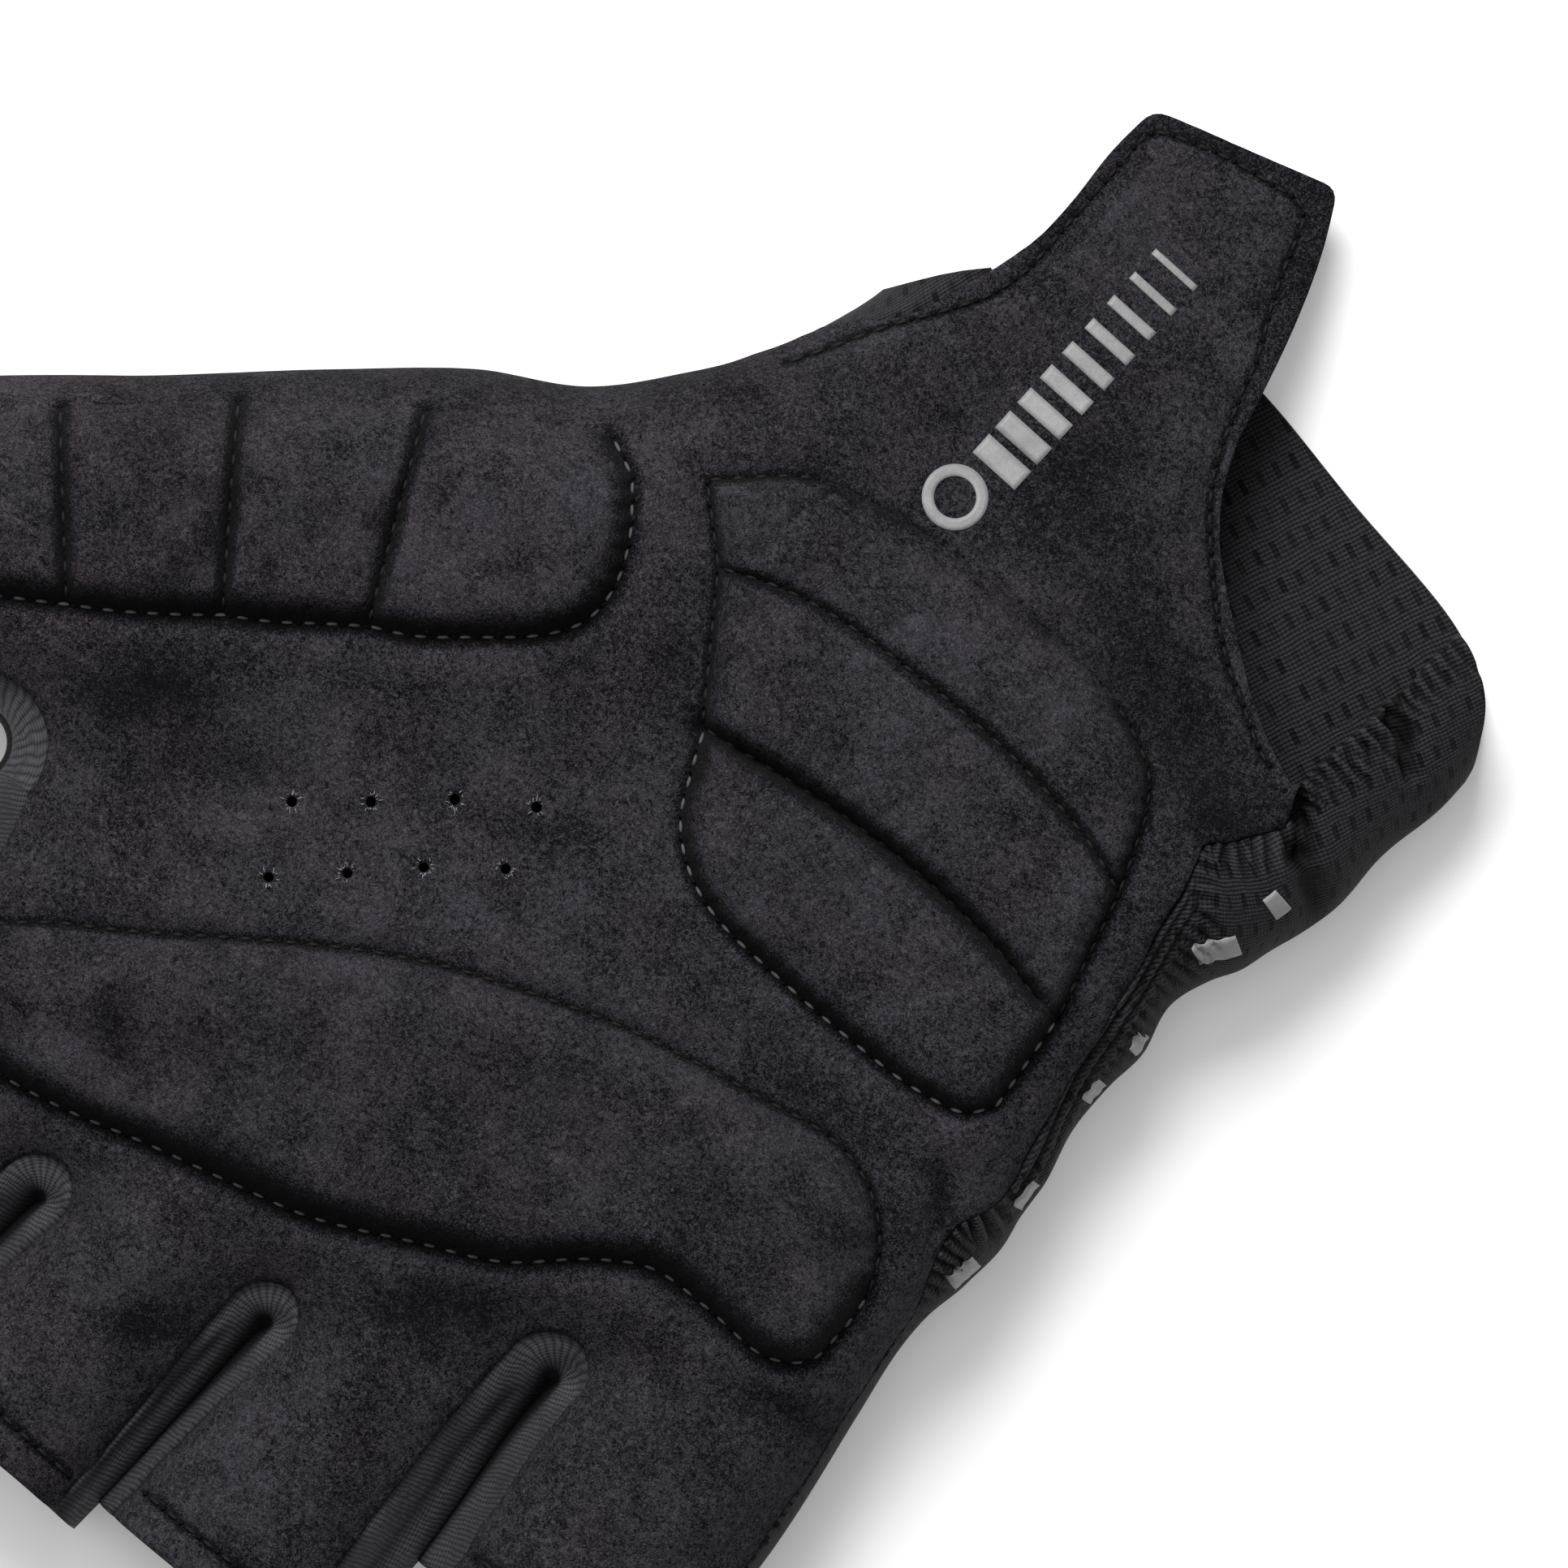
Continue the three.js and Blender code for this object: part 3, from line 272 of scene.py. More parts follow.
def catmull_rom(rows, per_span=24):
    """Dense points on the centripetal curve through the rows; further columns are carried along."""
    points = np.asarray(rows, float)
    points = np.vstack([2 * points[0] - points[1], points, 2 * points[-1] - points[-2]])
    t = np.linspace(0, 1, per_span, endpoint=False)[:, None]
    dense = []
    for before, start, end, after in zip(points, points[1:], points[2:], points[3:]):
        a, b, c = (max(np.linalg.norm(q - p) ** 0.5, 1e-6)
                   for p, q in ((before, start), (start, end), (end, after)))
        leave = b * ((start - before) / a - (end - before) / (a + b) + (end - start) / b)
        arrive = b * ((end - start) / b - (after - start) / (b + c) + (after - end) / c)
        square = 3 * (end - start) - 2 * leave - arrive
        cube = 2 * (start - end) + leave + arrive
        dense.append(start + leave * t + square * t ** 2 + cube * t ** 3)
    dense.append(points[-2][None])
    return np.vstack(dense)


def lengths_along(line):
    return np.concatenate([[0], np.cumsum(np.hypot(*np.diff(line[:, :2], axis=0).T))])


def place_on(line, shares):
    """Points at shares of a dense line's plan length."""
    lengths = lengths_along(line)
    at = np.asarray(shares) * lengths[-1]
    return np.stack([np.interp(at, lengths, column) for column in line.T], -1)


def share_at_y(line, y):
    lengths = lengths_along(line)
    return np.interp(y, line[:, 1], lengths) / lengths[-1]


def nearest_on(xy, line):
    """Distance of each point from a line, and how far along the line its nearest place is."""
    flat = xy.reshape(-1, 2)
    start, step = line[:-1, :2], np.diff(line[:, :2], axis=0)
    size = np.maximum((step ** 2).sum(1), 1e-12)
    lengths = lengths_along(line)
    distance, along = np.empty(len(flat)), np.empty(len(flat))
    for first in range(0, len(flat), 4096):
        part = flat[first:first + 4096]
        gap = part[:, None] - start
        t = np.clip((gap * step).sum(2) / size, 0, 1)
        apart = np.linalg.norm(gap - t[..., None] * step, axis=2)
        best = apart.argmin(1)
        rows = np.arange(len(part))
        distance[first:first + 4096] = apart[rows, best]
        along[first:first + 4096] = lengths[best] + t[rows, best] * np.sqrt(size[best])
    return distance.reshape(xy.shape[:-1]), along.reshape(xy.shape[:-1])


# Stations on the outline: places, the directions into the glove, and the table's further column
Stations = namedtuple("Stations", "place inward extra along")


def stations_on(line, shares, turn):
    shares = np.asarray(shares)
    places = place_on(line, shares)
    reach = 0.018
    tangent = place_on(line, np.minimum(shares + reach, 1)) - place_on(line, np.maximum(shares - reach, 0))
    tangent = tangent[:, :2] / np.linalg.norm(tangent[:, :2], axis=1)[:, None]
    inward = turn * np.stack([-tangent[:, 1], tangent[:, 0]], 1)
    return Stations(places[:, :2], inward, places[:, 2], shares * lengths_along(line)[-1])


def joined(first, second, shared=0):
    """One row of stations from two, less those at its start that the second shares with the first."""
    return Stations(*(np.concatenate([a, b[shared:]]) for a, b in zip(first, second)))


def slit_side(slit, side):
    """Stations from a slit's end, round its arc and along one finger's edge."""
    turn = -1 if side == "left" else 1
    first, last = np.radians(slit.angles)
    share = np.linspace(0, 1, ARC_ROWS + 1)
    angle = (first + last) / 2 + turn * (last - first) / 2 * share
    inward = np.stack([np.cos(angle), np.sin(angle)], 1)
    place = np.array(slit.centre) + slit.radius * inward
    reach = 3.5
    arc = Stations(place, inward, share * SLIT_ARC_SHARE, share * reach)
    edge = catmull_rom([(*point, 0) for point in (place[-1], *getattr(slit, side))])
    rest = np.arange(1, SIDE_ROWS + 1) / SIDE_ROWS
    straight = stations_on(edge, rest, -turn)
    rows_left = len(slit.inset) - 1 - SLIT_ARC_SHARE
    straight = straight._replace(extra=SLIT_ARC_SHARE + rows_left * rest, along=straight.along + reach)
    both = joined(arc, straight)
    inset = np.interp(both.extra, range(len(slit.inset)), slit.inset)
    if side == "left" and slit.name != "thumb_web":
        inset *= np.interp(both.extra, (0, 1, SLIT_ARC_SHARE + 1), (1, 0.85, 0.45))
    return both._replace(extra=inset)


ulnar_line = catmull_rom(ULNAR_EDGE)
thenar_line = catmull_rom(THENAR_EDGE)
rim_line = catmull_rom(CUFF_RIM)
slit_sides = [(slit_side(slit, "left"), slit_side(slit, "right")) for slit in SLITS]


def with_run_outs(line):
    """A line in plan, carried on straight past both its ends."""
    first = line[0] + RUN_OUT * (line[0] - line[1]) / np.linalg.norm(line[0] - line[1])
    last = line[-1] + RUN_OUT * (line[-1] - line[-2]) / np.linalg.norm(line[-1] - line[-2])
    return np.vstack([first, line, last])


def outline_lines():
    fine = np.linspace(0, 1, 120)
    thenar = np.vstack([THENAR_RUN_OUT, with_run_outs(place_on(thenar_line[:, :2], fine))[1:]])
    lines = [with_run_outs(place_on(ulnar_line[:, :2], fine)), thenar]
    for left, right in slit_sides:
        lines.append(with_run_outs(np.vstack([left.place[::-1], right.place[1:]])))
    return lines


OUTLINE = outline_lines()


# The body's surface

def soft_patches(xy, rows):
    """The sum of soft oval patches: each has its place, its turn, its length and width, and its value."""
    total = np.zeros(xy.shape[:-1])
    for x, y, turn, long, wide, value in rows:
        dx, dy = xy[..., 0] - x, xy[..., 1] - y
        c, s = math.cos(math.radians(turn)), math.sin(math.radians(turn))
        total += value * hump(dx * c + dy * s, long) * hump(dy * c - dx * s, wide)
    return total


def palm_height(xy):
    start, end, by = THUMB_DROP
    t = np.clip((xy[..., 0] - start) / (end - start), 0, 1)
    return np.interp(xy[..., 1], *zip(*HEIGHTS)) - by * t * t * (3 - 2 * t) - soft_patches(xy, FOLDS)


def height_at_angle(xy, angle):
    top = palm_height(xy)
    middle = top * MIDDLE_SHARE
    return middle + np.where(angle > 0, top - middle, middle) * np.sin(angle)


def outline_distance(xy):
    return np.min([nearest_on(xy, line)[0] for line in OUTLINE], axis=0)


def surface(xy, side=1):
    """Points of the palm's face, or with side -1 the back's, over places in plan."""
    inset = np.minimum(outline_distance(xy), ROLL)
    angle = side * np.arccos(1 - inset / ROLL)
    return np.concatenate([xy, height_at_angle(xy, angle)[..., None]], -1)


def roll_points(stations, way):
    """Points round the roll at stations, by how far up, or down where negative, they lie from the outline."""
    angle = np.clip(np.abs(way) / ROLL, 0, math.pi / 2)
    inset = ROLL * (1 - np.cos(angle)) + np.maximum(0, np.abs(way) - ROLL * math.pi / 2)
    xy = stations.place[:, None] + stations.inward[:, None] * inset[..., None]
    return np.concatenate([xy, height_at_angle(xy, np.sign(way) * angle)[..., None]], -1)


def seam_way(stations):
    inset = stations.extra
    return np.where(inset < ROLL, ROLL * np.arccos(np.clip(1 - inset / ROLL, -1, 1)),
                    ROLL * math.pi / 2 + inset - ROLL)


def wrap_way(stations):
    return ROLL * np.radians(stations.extra)


def palm_seam(stations):
    return roll_points(stations, seam_way(stations)[:, None] + HALF_GAP)[:, 0]


def under_seam(stations):
    return roll_points(stations, np.full((len(stations.extra), 1), -UNDER_FINGER_SEAM - HALF_GAP))[:, 0]


# Patches: points, triangles, and a cloth coordinate in millimetres at each point
Patch = namedtuple("Patch", "points faces cloth")


def grid_cells(grid):
    """The numbers of a grid's points, and those at the four corners of every cell."""
    rows, columns = grid.shape[:2]
    number = np.arange(rows * columns).reshape(rows, columns)
    corners = number[:-1, :-1], number[:-1, 1:], number[1:, 1:], number[1:, :-1]
    return number, [corner.ravel() for corner in corners]


def grid_patch(grid, cloth=None):
    """A patch from a grid of points, each cell split along its shorter diagonal."""
    _, (a, b, c, d) = grid_cells(grid)
    points = grid.reshape(-1, 3)
    first = np.linalg.norm(points[a] - points[c], axis=1) <= np.linalg.norm(points[b] - points[d], axis=1)
    one = np.where(first[:, None], np.stack([a, b, c], 1), np.stack([a, b, d], 1))
    two = np.where(first[:, None], np.stack([a, c, d], 1), np.stack([b, c, d], 1))
    places = grid[..., :2] if cloth is None else cloth
    return Patch(points, np.concatenate([one, two]), places.reshape(-1, 2))


def roll_grid(stations, columns, low, high):
    """Points round the roll between two ways at each station, and how far round and along they lie."""
    way = low[:, None] + (high - low)[:, None] * np.linspace(0, 1, columns + 1)
    along = np.broadcast_to(stations.along[:, None], way.shape)
    return roll_points(stations, way), np.stack([way, along], -1)


def inside(xy, loop):
    """Whether places in plan lie inside a closed line."""
    odd = np.zeros(len(xy), bool)
    for (x1, y1), (x2, y2) in zip(loop, np.roll(loop, -1, axis=0)):
        if y1 == y2:
            continue
        spans = (y1 > xy[:, 1]) != (y2 > xy[:, 1])
        odd ^= spans & (xy[:, 0] < x1 + (xy[:, 1] - y1) * (x2 - x1) / (y2 - y1))
    return odd


def filled_patch(rim, holes, side, step):
    """A fine sheet of one of the body's faces inside a closed rim of points, less its holes."""
    low, high = rim[:, :2].min(0), rim[:, :2].max(0)
    x, y = np.meshgrid(np.arange(low[0], high[0], step), np.arange(low[1], high[1], step * 0.866))
    x[1::2] += step / 2
    xy = np.stack([x.ravel(), y.ravel()], 1)
    xy = xy[inside(xy, rim[:, :2])]
    edge = np.vstack([rim, *holes])
    tree = KDTree(len(edge))
    for i, point in enumerate(edge):
        tree.insert((*point[:2], 0), i)
    tree.balance()
    xy = xy[[tree.find((*place, 0))[2] > 0.6 * step for place in xy]]
    places = np.vstack([edge[:, :2], xy])
    borders, start = [], 0
    for loop in (rim, *holes):
        count = len(loop)
        borders += [(start + i, start + (i + 1) % count) for i in range(count)]
        start += count
    found = delaunay_2d_cdt([Vector(place) for place in places], borders, [], 0, 1e-7)
    source = np.array([numbers[0] for numbers in found[3]])
    faces = source[np.array(found[2])]
    centres = places[faces].mean(1)
    kept = inside(centres, rim[:, :2])
    for hole in holes:
        kept &= ~inside(centres, hole[:, :2])
    points = np.vstack([edge, surface(xy, side)])
    return Patch(points, faces[kept], places)


def across(start, end, side, step):
    """Points on one of the body's faces between two others, without either."""
    count = max(int(np.linalg.norm(end[:2] - start[:2]) / step), 2)
    share = np.linspace(0, 1, count + 1)[1:-1, None]
    return surface(start[:2] + (end - start)[:2] * share, side)


def finger_rim(thumb_line, ulnar_line_points, seam, side, step):
    """The rim round the fingers, from the thumb's tip to the little finger's."""
    parts, last = [], thumb_line[-1]
    for left, right in reversed(slit_sides):
        down, up = seam(right)[::-1], seam(left)
        parts += [across(last, down[0], side, step), down, up[1:]]
        last = up[-1]
    parts.append(across(last, ulnar_line_points[-1], side, step))
    return parts


FINGER_SHARES = np.concatenate([
    np.linspace(0, 0.15, ARC_ROWS + 1), np.linspace(0.15, 1, SIDE_ROWS + 1)[1:]])
ULNAR_SHARES = share_at_y(ulnar_line, (ULNAR_CORNER_Y, ULNAR_BASE_Y))
THENAR_SHARES = share_at_y(thenar_line, (THENAR_CUFF_Y, THENAR_BASE_Y))
ulnar_palm = stations_on(ulnar_line, np.linspace(*ULNAR_SHARES, PALM_ROWS + 1), -1)
ulnar_finger = stations_on(ulnar_line, ULNAR_SHARES[1] + (1 - ULNAR_SHARES[1]) * FINGER_SHARES, -1)
thenar_palm = stations_on(thenar_line, np.linspace(0, THENAR_SHARES[1], PALM_ROWS + 1), 1)
thenar_knit = stations_on(thenar_line, np.linspace(*THENAR_SHARES, PALM_ROWS + 1), 1)
thenar_finger = stations_on(thenar_line, THENAR_SHARES[1] + (1 - THENAR_SHARES[1]) * FINGER_SHARES, 1)


def rounded_end(left, right, reach=1.5):
    """The two sides of the tab and its end between them, with the end's corners rounded."""
    low, high = left[-1], right[-1]
    t = np.linspace(0, 1, 5)[:, None]
    corners = []
    for corner, before, after in ((low, left[-9], high), (high, low, right[-9])):
        start, end = (corner + reach * (p - corner) / np.linalg.norm(p - corner) for p in (before, after))
        corners.append((1 - t) ** 2 * start + 2 * t * (1 - t) * corner + t * t * end)
    sides = [side[np.linalg.norm(side - side[-1], axis=1) > reach + 0.3] for side in (left, right)]
    first, last = corners
    return np.vstack([sides[0], first, across(first[-1], last[0], 1, PALM_STEP)[:, :2], last, sides[1][::-1]])


def palm_patches():
    """The palm's outer face: the hand, fingers and tab in one sheet, and the wrap round the thumb's edge."""
    stations = joined(thenar_palm, thenar_finger, 1)
    low = np.full(len(stations.extra), float(PALM_SIDE_LINE))
    wrap, wrap_cloth = roll_grid(stations, THENAR_COLUMNS, low, wrap_way(stations) + HALF_GAP)
    wrap_cloth = wrap_cloth * (-1, 1)
    ulnar = palm_seam(joined(ulnar_palm, ulnar_finger, 1))
    wrist = surface(catmull_rom(WRIST_EDGE, 10)[1:])
    tab = surface(rounded_end(*(catmull_rom(edge, 10) for edge in (TAB_LEFT, TAB_RIGHT))))
    rim = np.vstack([
        ulnar[:1], wrist[:-1], tab[:-2],
        wrap[0, ::-1], wrap[1:, 0], *finger_rim(wrap[:, 0], ulnar, palm_seam, 1, PALM_STEP), ulnar[:0:-1],
    ])
    turn = np.linspace(0, 2 * math.pi, VENT_SIDES, endpoint=False)
    ring = VENT_RADIUS * np.stack([np.cos(turn), np.sin(turn)], 1)
    holes = [surface(ring + vent) for vent in VENTS]
    return [filled_patch(rim, holes, 1, PALM_STEP), grid_patch(wrap, wrap_cloth)]


def rim_share(stations_of, way_of, high):
    """The share of an edge's length at which a line round its roll leaves the cuff's rim."""
    low = 0
    rim = rim_line[rim_line[:, 0].argsort()]
    for _ in range(18):
        middle = (low + high) / 2
        stations = stations_of(np.array([middle]))
        point = roll_points(stations, way_of(stations)[:, None])[0, 0]
        if point[1] < np.interp(point[0], rim[:, 0], rim[:, 1]):
            low = middle
        else:
            high = middle
    return high


def cuff_grid(line, turn, high, columns, low_way, high_way):
    """The cuff round one edge of the hand, from the rim to a share of the edge's length."""
    lines, cloth = [], []
    for s in np.linspace(0, 1, columns + 1):
        def way_of(stations):
            return low_way(stations) + (high_way(stations) - low_way(stations)) * s
        start = rim_share(lambda shares: stations_on(line, shares, turn), way_of, high)
        stations = stations_on(line, np.linspace(start, high, CUFF_ROWS + 1), turn)
        way = way_of(stations)
        lines.append(roll_points(stations, way[:, None])[:, 0])
        cloth.append(np.stack([way, stations.along], -1))
    return np.stack(lines, 1), np.stack(cloth, 1)


def under_way(stations):
    return np.full(len(stations.extra), -float(UNDER_EDGE))


def ulnar_top(stations):
    return seam_way(stations) - HALF_GAP


def thenar_top(stations):
    return wrap_way(stations) - HALF_GAP


def back_patches():
    """The knitted back's outer face: cuff, hand, rolled sides and the backs of the fingers."""
    ulnar_cuff = cuff_grid(ulnar_line, -1, ULNAR_SHARES[0], ULNAR_COLUMNS, under_way, ulnar_top)
    thenar_cuff = cuff_grid(thenar_line, 1, THENAR_SHARES[0], THENAR_COLUMNS, under_way, thenar_top)
    ulnar_all = joined(ulnar_palm, ulnar_finger, 1)
    thenar_all = joined(thenar_knit, thenar_finger, 1)
    ulnar_side = roll_grid(ulnar_all, ULNAR_COLUMNS, under_way(ulnar_all), ulnar_top(ulnar_all))
    thenar_side = roll_grid(thenar_all, THENAR_COLUMNS, under_way(thenar_all), thenar_top(thenar_all))
    ulnar = np.vstack([ulnar_cuff[0][:-1, 0], ulnar_side[0][:, 0]])
    thenar = np.vstack([thenar_cuff[0][:-1, 0], thenar_side[0][:, 0]])
    rim_curve = rim_line[rim_line[:, 0].argsort()]
    x = np.linspace(ulnar[0, 0], thenar[0, 0], 90)[1:-1]
    cuff = surface(np.stack([x, np.interp(x, rim_curve[:, 0], rim_curve[:, 1])], 1), -1)
    rim = np.vstack([cuff, thenar, *finger_rim(thenar, ulnar, under_seam, -1, BACK_STEP), ulnar[::-1]])
    sides = [grid_patch(*both) for both in (ulnar_cuff, ulnar_side)]
    sides += [grid_patch(grid, cloth * (-1, 1)) for grid, cloth in (thenar_cuff, thenar_side)]
    return [filled_patch(rim, [], -1, BACK_STEP), *sides]


# Meshes

def to_row(points):
    """Drawing millimetres to metres in the row's frame."""
    return (np.asarray(points) - (*DRAWING_CENTRE, 0)) * MM


def normals_of(points, faces):
    a, b, c = (points[faces[:, i]] for i in range(3))
    face = np.cross(b - a, c - a)
    normals = np.zeros_like(points)
    for i in range(3):
        np.add.at(normals, faces[:, i], face)
    return normals / np.maximum(np.linalg.norm(normals, axis=1), 1e-9)[:, None]


def outward_guess(points):
    """Roughly which way the body's outside lies at a few points."""
    def level(p):
        top = palm_height(p[:, :2])
        middle = top * MIDDLE_SHARE
        reach = np.where(p[:, 2] > middle, top - middle, middle)
        inset = np.minimum(outline_distance(p[:, :2]), ROLL)
        return (1 - inset / ROLL) ** 2 + ((p[:, 2] - middle) / reach) ** 2
    return np.stack([level(points + step) - level(points - step) for step in 0.05 * np.eye(3)], -1)


def weld(patches):
    """Shared points of the patches, triangles that face out, their corners on the cloth, and the normals."""
    every = np.concatenate([patch.points for patch in patches])
    _, number = np.unique(np.round(every * 500).astype(np.int64), axis=0, return_inverse=True)
    number = number.ravel()
    faces, cloth, done = [], [], 0
    for patch in patches:
        own = number[done:done + len(patch.points)][patch.faces]
        places = patch.cloth[patch.faces]
        tried = patch.faces[:: max(len(patch.faces) // 40, 1)]
        a, b, c = (patch.points[tried[:, i]] for i in range(3))
        if (np.cross(b - a, c - a) * outward_guess((a + b + c) / 3)).sum() < 0:
            own, places = own[:, ::-1], places[:, ::-1]
        faces.append(own)
        cloth.append(places)
        done += len(patch.points)
    faces, cloth = np.concatenate(faces), np.concatenate(cloth)
    whole = (faces[:, 0] != faces[:, 1]) & (faces[:, 1] != faces[:, 2]) & (faces[:, 2] != faces[:, 0])
    faces, cloth = faces[whole], cloth[whole]
    used, again = np.unique(faces, return_inverse=True)
    points = np.zeros((number.max() + 1, 3))
    points[number] = every
    points, faces = points[used], again.reshape(-1, 3)
    return points, faces, cloth, normals_of(points, faces)


def free_edges(faces, count):
    """The directed edges that only one triangle has."""
    directed = np.concatenate([faces[:, (i, (i + 1) % 3)] for i in range(3)])
    codes = directed[:, 0].astype(np.int64) * count + directed[:, 1]
    back_codes = directed[:, 1].astype(np.int64) * count + directed[:, 0]
    return directed[~np.isin(codes, back_codes)]


def shell_mesh(name, points, faces, cloth, inner, masks, bulge=0.0):
    """A closed mesh from an outer face and the inner point behind each of its points."""
    count = len(points)
    normals = normals_of(points, faces)
    free = free_edges(faces, count)
    rim = np.unique(free)
    place = np.full(count, -1)
    place[rim] = np.arange(len(rim)) + 2 * count
    away = np.zeros_like(points)
    edges = points[free[:, 1]] - points[free[:, 0]]
    for ends in free.T:
        np.add.at(away, ends, np.cross(edges, normals[ends]))
    away /= np.maximum(np.linalg.norm(away, axis=1), 1e-9)[:, None]
    middle = (points[rim] + inner[rim]) / 2 + away[rim] * bulge
    p, q = free.T
    sides = np.concatenate([
        np.stack([q, p, place[p]], 1), np.stack([q, place[p], place[q]], 1),
        np.stack([place[q], place[p], p + count], 1), np.stack([place[q], p + count, q + count], 1),
    ])
    everything = np.vstack([points, inner, middle])
    triangles = np.concatenate([faces, faces[:, ::-1] + count, sides])
    at = np.zeros((count, 2))
    at[faces.ravel()] = cloth.reshape(-1, 2)
    side_cloth = [np.stack([at[i] for i in corners], 1) for corners in ((q, p, p), (q, p, q))]
    places = np.concatenate([cloth, cloth[:, ::-1], *side_cloth, *side_cloth])
    mesh = bpy.data.meshes.new(name)
    mesh.vertices.add(len(everything))
    mesh.vertices.foreach_set("co", to_row(everything).astype(np.float32).ravel())
    mesh.loops.add(triangles.size)
    mesh.loops.foreach_set("vertex_index", triangles.astype(np.int32).ravel())
    mesh.polygons.add(len(triangles))
    mesh.polygons.foreach_set("loop_start", np.arange(0, triangles.size, 3, dtype=np.int32))
    mesh.polygons.foreach_set("use_smooth", np.ones(len(triangles), bool))
    mesh.update(calc_edges=True)
    mesh.uv_layers.new(name="cloth").data.foreach_set("uv", places.astype(np.float32).ravel())
    for mask, values in masks.items():
        values = np.concatenate([values, values * 0.5, values[rim]])
        mesh.attributes.new(mask, "FLOAT", "POINT").data.foreach_set("value", values.astype(np.float32))
    return mesh


def tubes_mesh(name, paths, radii, sides=6):
    """Many short tubes in one mesh, each with a path in drawing millimetres and a radius at its points."""
    points, faces = [], []
    turn = np.linspace(0, 2 * math.pi, sides, endpoint=False)
    ring = np.stack([np.cos(turn), np.sin(turn)], 1)
    start = 0
    for path, radius in zip(paths, radii):
        path = np.asarray(path, float)
        ahead = np.gradient(path, axis=0)
        ahead /= np.linalg.norm(ahead, axis=1)[:, None]
        side = np.cross(ahead, (0.1, 0.05, 1))
        side /= np.linalg.norm(side, axis=1)[:, None]
        up = np.cross(side, ahead)
        rings = (ring[:, :1] * side[:, None] + ring[:, 1:] * up[:, None]) * np.reshape(radius, (-1, 1, 1))
        points.append((path[:, None] + rings).reshape(-1, 3))
        for k in range(len(path) - 1):
            for j in range(sides):
                a, b = start + k * sides + j, start + k * sides + (j + 1) % sides
                faces.append((a, b, b + sides, a + sides))
        faces.append(tuple(range(start + sides - 1, start - 1, -1)))
        last = start + (len(path) - 1) * sides
        faces.append(tuple(range(last, last + sides)))
        start += len(path) * sides
    mesh = bpy.data.meshes.new(name)
    mesh.from_pydata(to_row(np.concatenate(points)).tolist(), [], faces)
    mesh.polygons.foreach_set("use_smooth", np.ones(len(mesh.polygons), bool))
    return mesh


def put_in_scene(name, data):
    made = bpy.data.objects.new(name, data)
    bpy.context.scene.collection.objects.link(made)
    return made


def place_piece(mesh, material, stands_for=()):
    """Puts a finished mesh into the scene as a piece of the glove, under the mesh's own name."""
    piece = put_in_scene(mesh.name, mesh)
    mesh.materials.append(bpy.data.materials[material])
    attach(piece, BODY)
    if stands_for:
        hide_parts(*stands_for)
    return piece


# Relief of the suede

def waves(xy, size, seed):
    """Soft unevenness from a few crossing waves, about -1 to 1, with bumps of a size in millimetres."""
    draw = np.random.default_rng(seed)
    total = np.zeros(xy.shape[:-1])
    for _ in range(7):
        angle, phase = draw.uniform(0, 2 * math.pi), draw.uniform(0, 2 * math.pi)
        k = 2 * math.pi / (size * draw.uniform(0.7, 1.5))
        total += np.sin(k * (xy[..., 0] * math.cos(angle) + xy[..., 1] * math.sin(angle)) + phase)
    return total / 3.5


# Pads that share one outline: how high they stand, the pads, their rims with how far each slope reaches, and
# the lines between them with the share of the height that stays there and how far the slope reaches
PadGroup = namedtuple("PadGroup", "puff pads rims dividers")


def chain(*lines):
    return np.vstack([np.atleast_2d(line)[:, :2] for line in lines])


def dense_edges(pads, edge):
    return chain(*(catmull_rom(getattr(pad, edge)) for pad in pads))


def closed(line):
    return np.vstack([line, line[:1]])


heel_channel, heel_divider = catmull_rom(HEEL_CHANNEL)[22:], catmull_rom(HEEL_DIVIDER)
heel_bottom = catmull_rom(HEEL_BOTTOM)
heel_soft_rim = heel_bottom[144:47:-1, :2]
heel_left = chain(heel_bottom[144:], HEEL_DIVIDER[-1], HEEL_CHANNEL[-1])
heel_low = chain(HEEL_CHANNEL[-1], catmull_rom(HEEL_TOP)[::-1], HEEL_CHANNEL[0])
heel_right = chain(HEEL_CHANNEL[0], HEEL_DIVIDER[0], heel_bottom[:49])
heel_rim = chain(heel_left, heel_low, heel_right)
knuckle_rim = chain(KNUCKLE_PAD.b[0], catmull_rom(KNUCKLE_PAD.a), KNUCKLE_PAD.b[-1])
knuckle_far_rim = catmull_rom(KNUCKLE_PAD.b)[:, :2]
thumb_rim = chain(THUMB_PADS[0].b[0], dense_edges(THUMB_PADS, "a"), THUMB_PADS[-1].b[-1])
thumb_far_rim = dense_edges(THUMB_PADS, "b")
thumb_dividers = [np.array([pad.a[-1], pad.b[-1]]) for pad in THUMB_PADS[:-1]]
HEEL = PadGroup(
    2.2, HEEL_PADS, ((heel_rim, 2.4), (heel_soft_rim, 9)), ((heel_channel, 0, 1.9), (heel_divider, 0.5, 1.6)))
KNUCKLES = PadGroup(3.1, (KNUCKLE_PAD,), ((knuckle_rim, 2.8), (knuckle_far_rim, 8)), ())
THUMB = PadGroup(
    2.7, THUMB_PADS, ((thumb_rim, 2.9), (thumb_far_rim, 9)),
    tuple((line, 0.35, 1.7) for line in thumb_dividers))
PAD_GROUPS = (HEEL, KNUCKLES, THUMB)


def hem_line(*edges):
    """A line across a finger, a hem's width in from its end, between two of its edges."""
    ends = []
    for stations in edges:
        row = np.searchsorted(stations.along, stations.along[-1] - HEM)
        ends.append(palm_seam(stations)[row, :2] + stations.inward[-1])
    return np.linspace(*ends, 30)


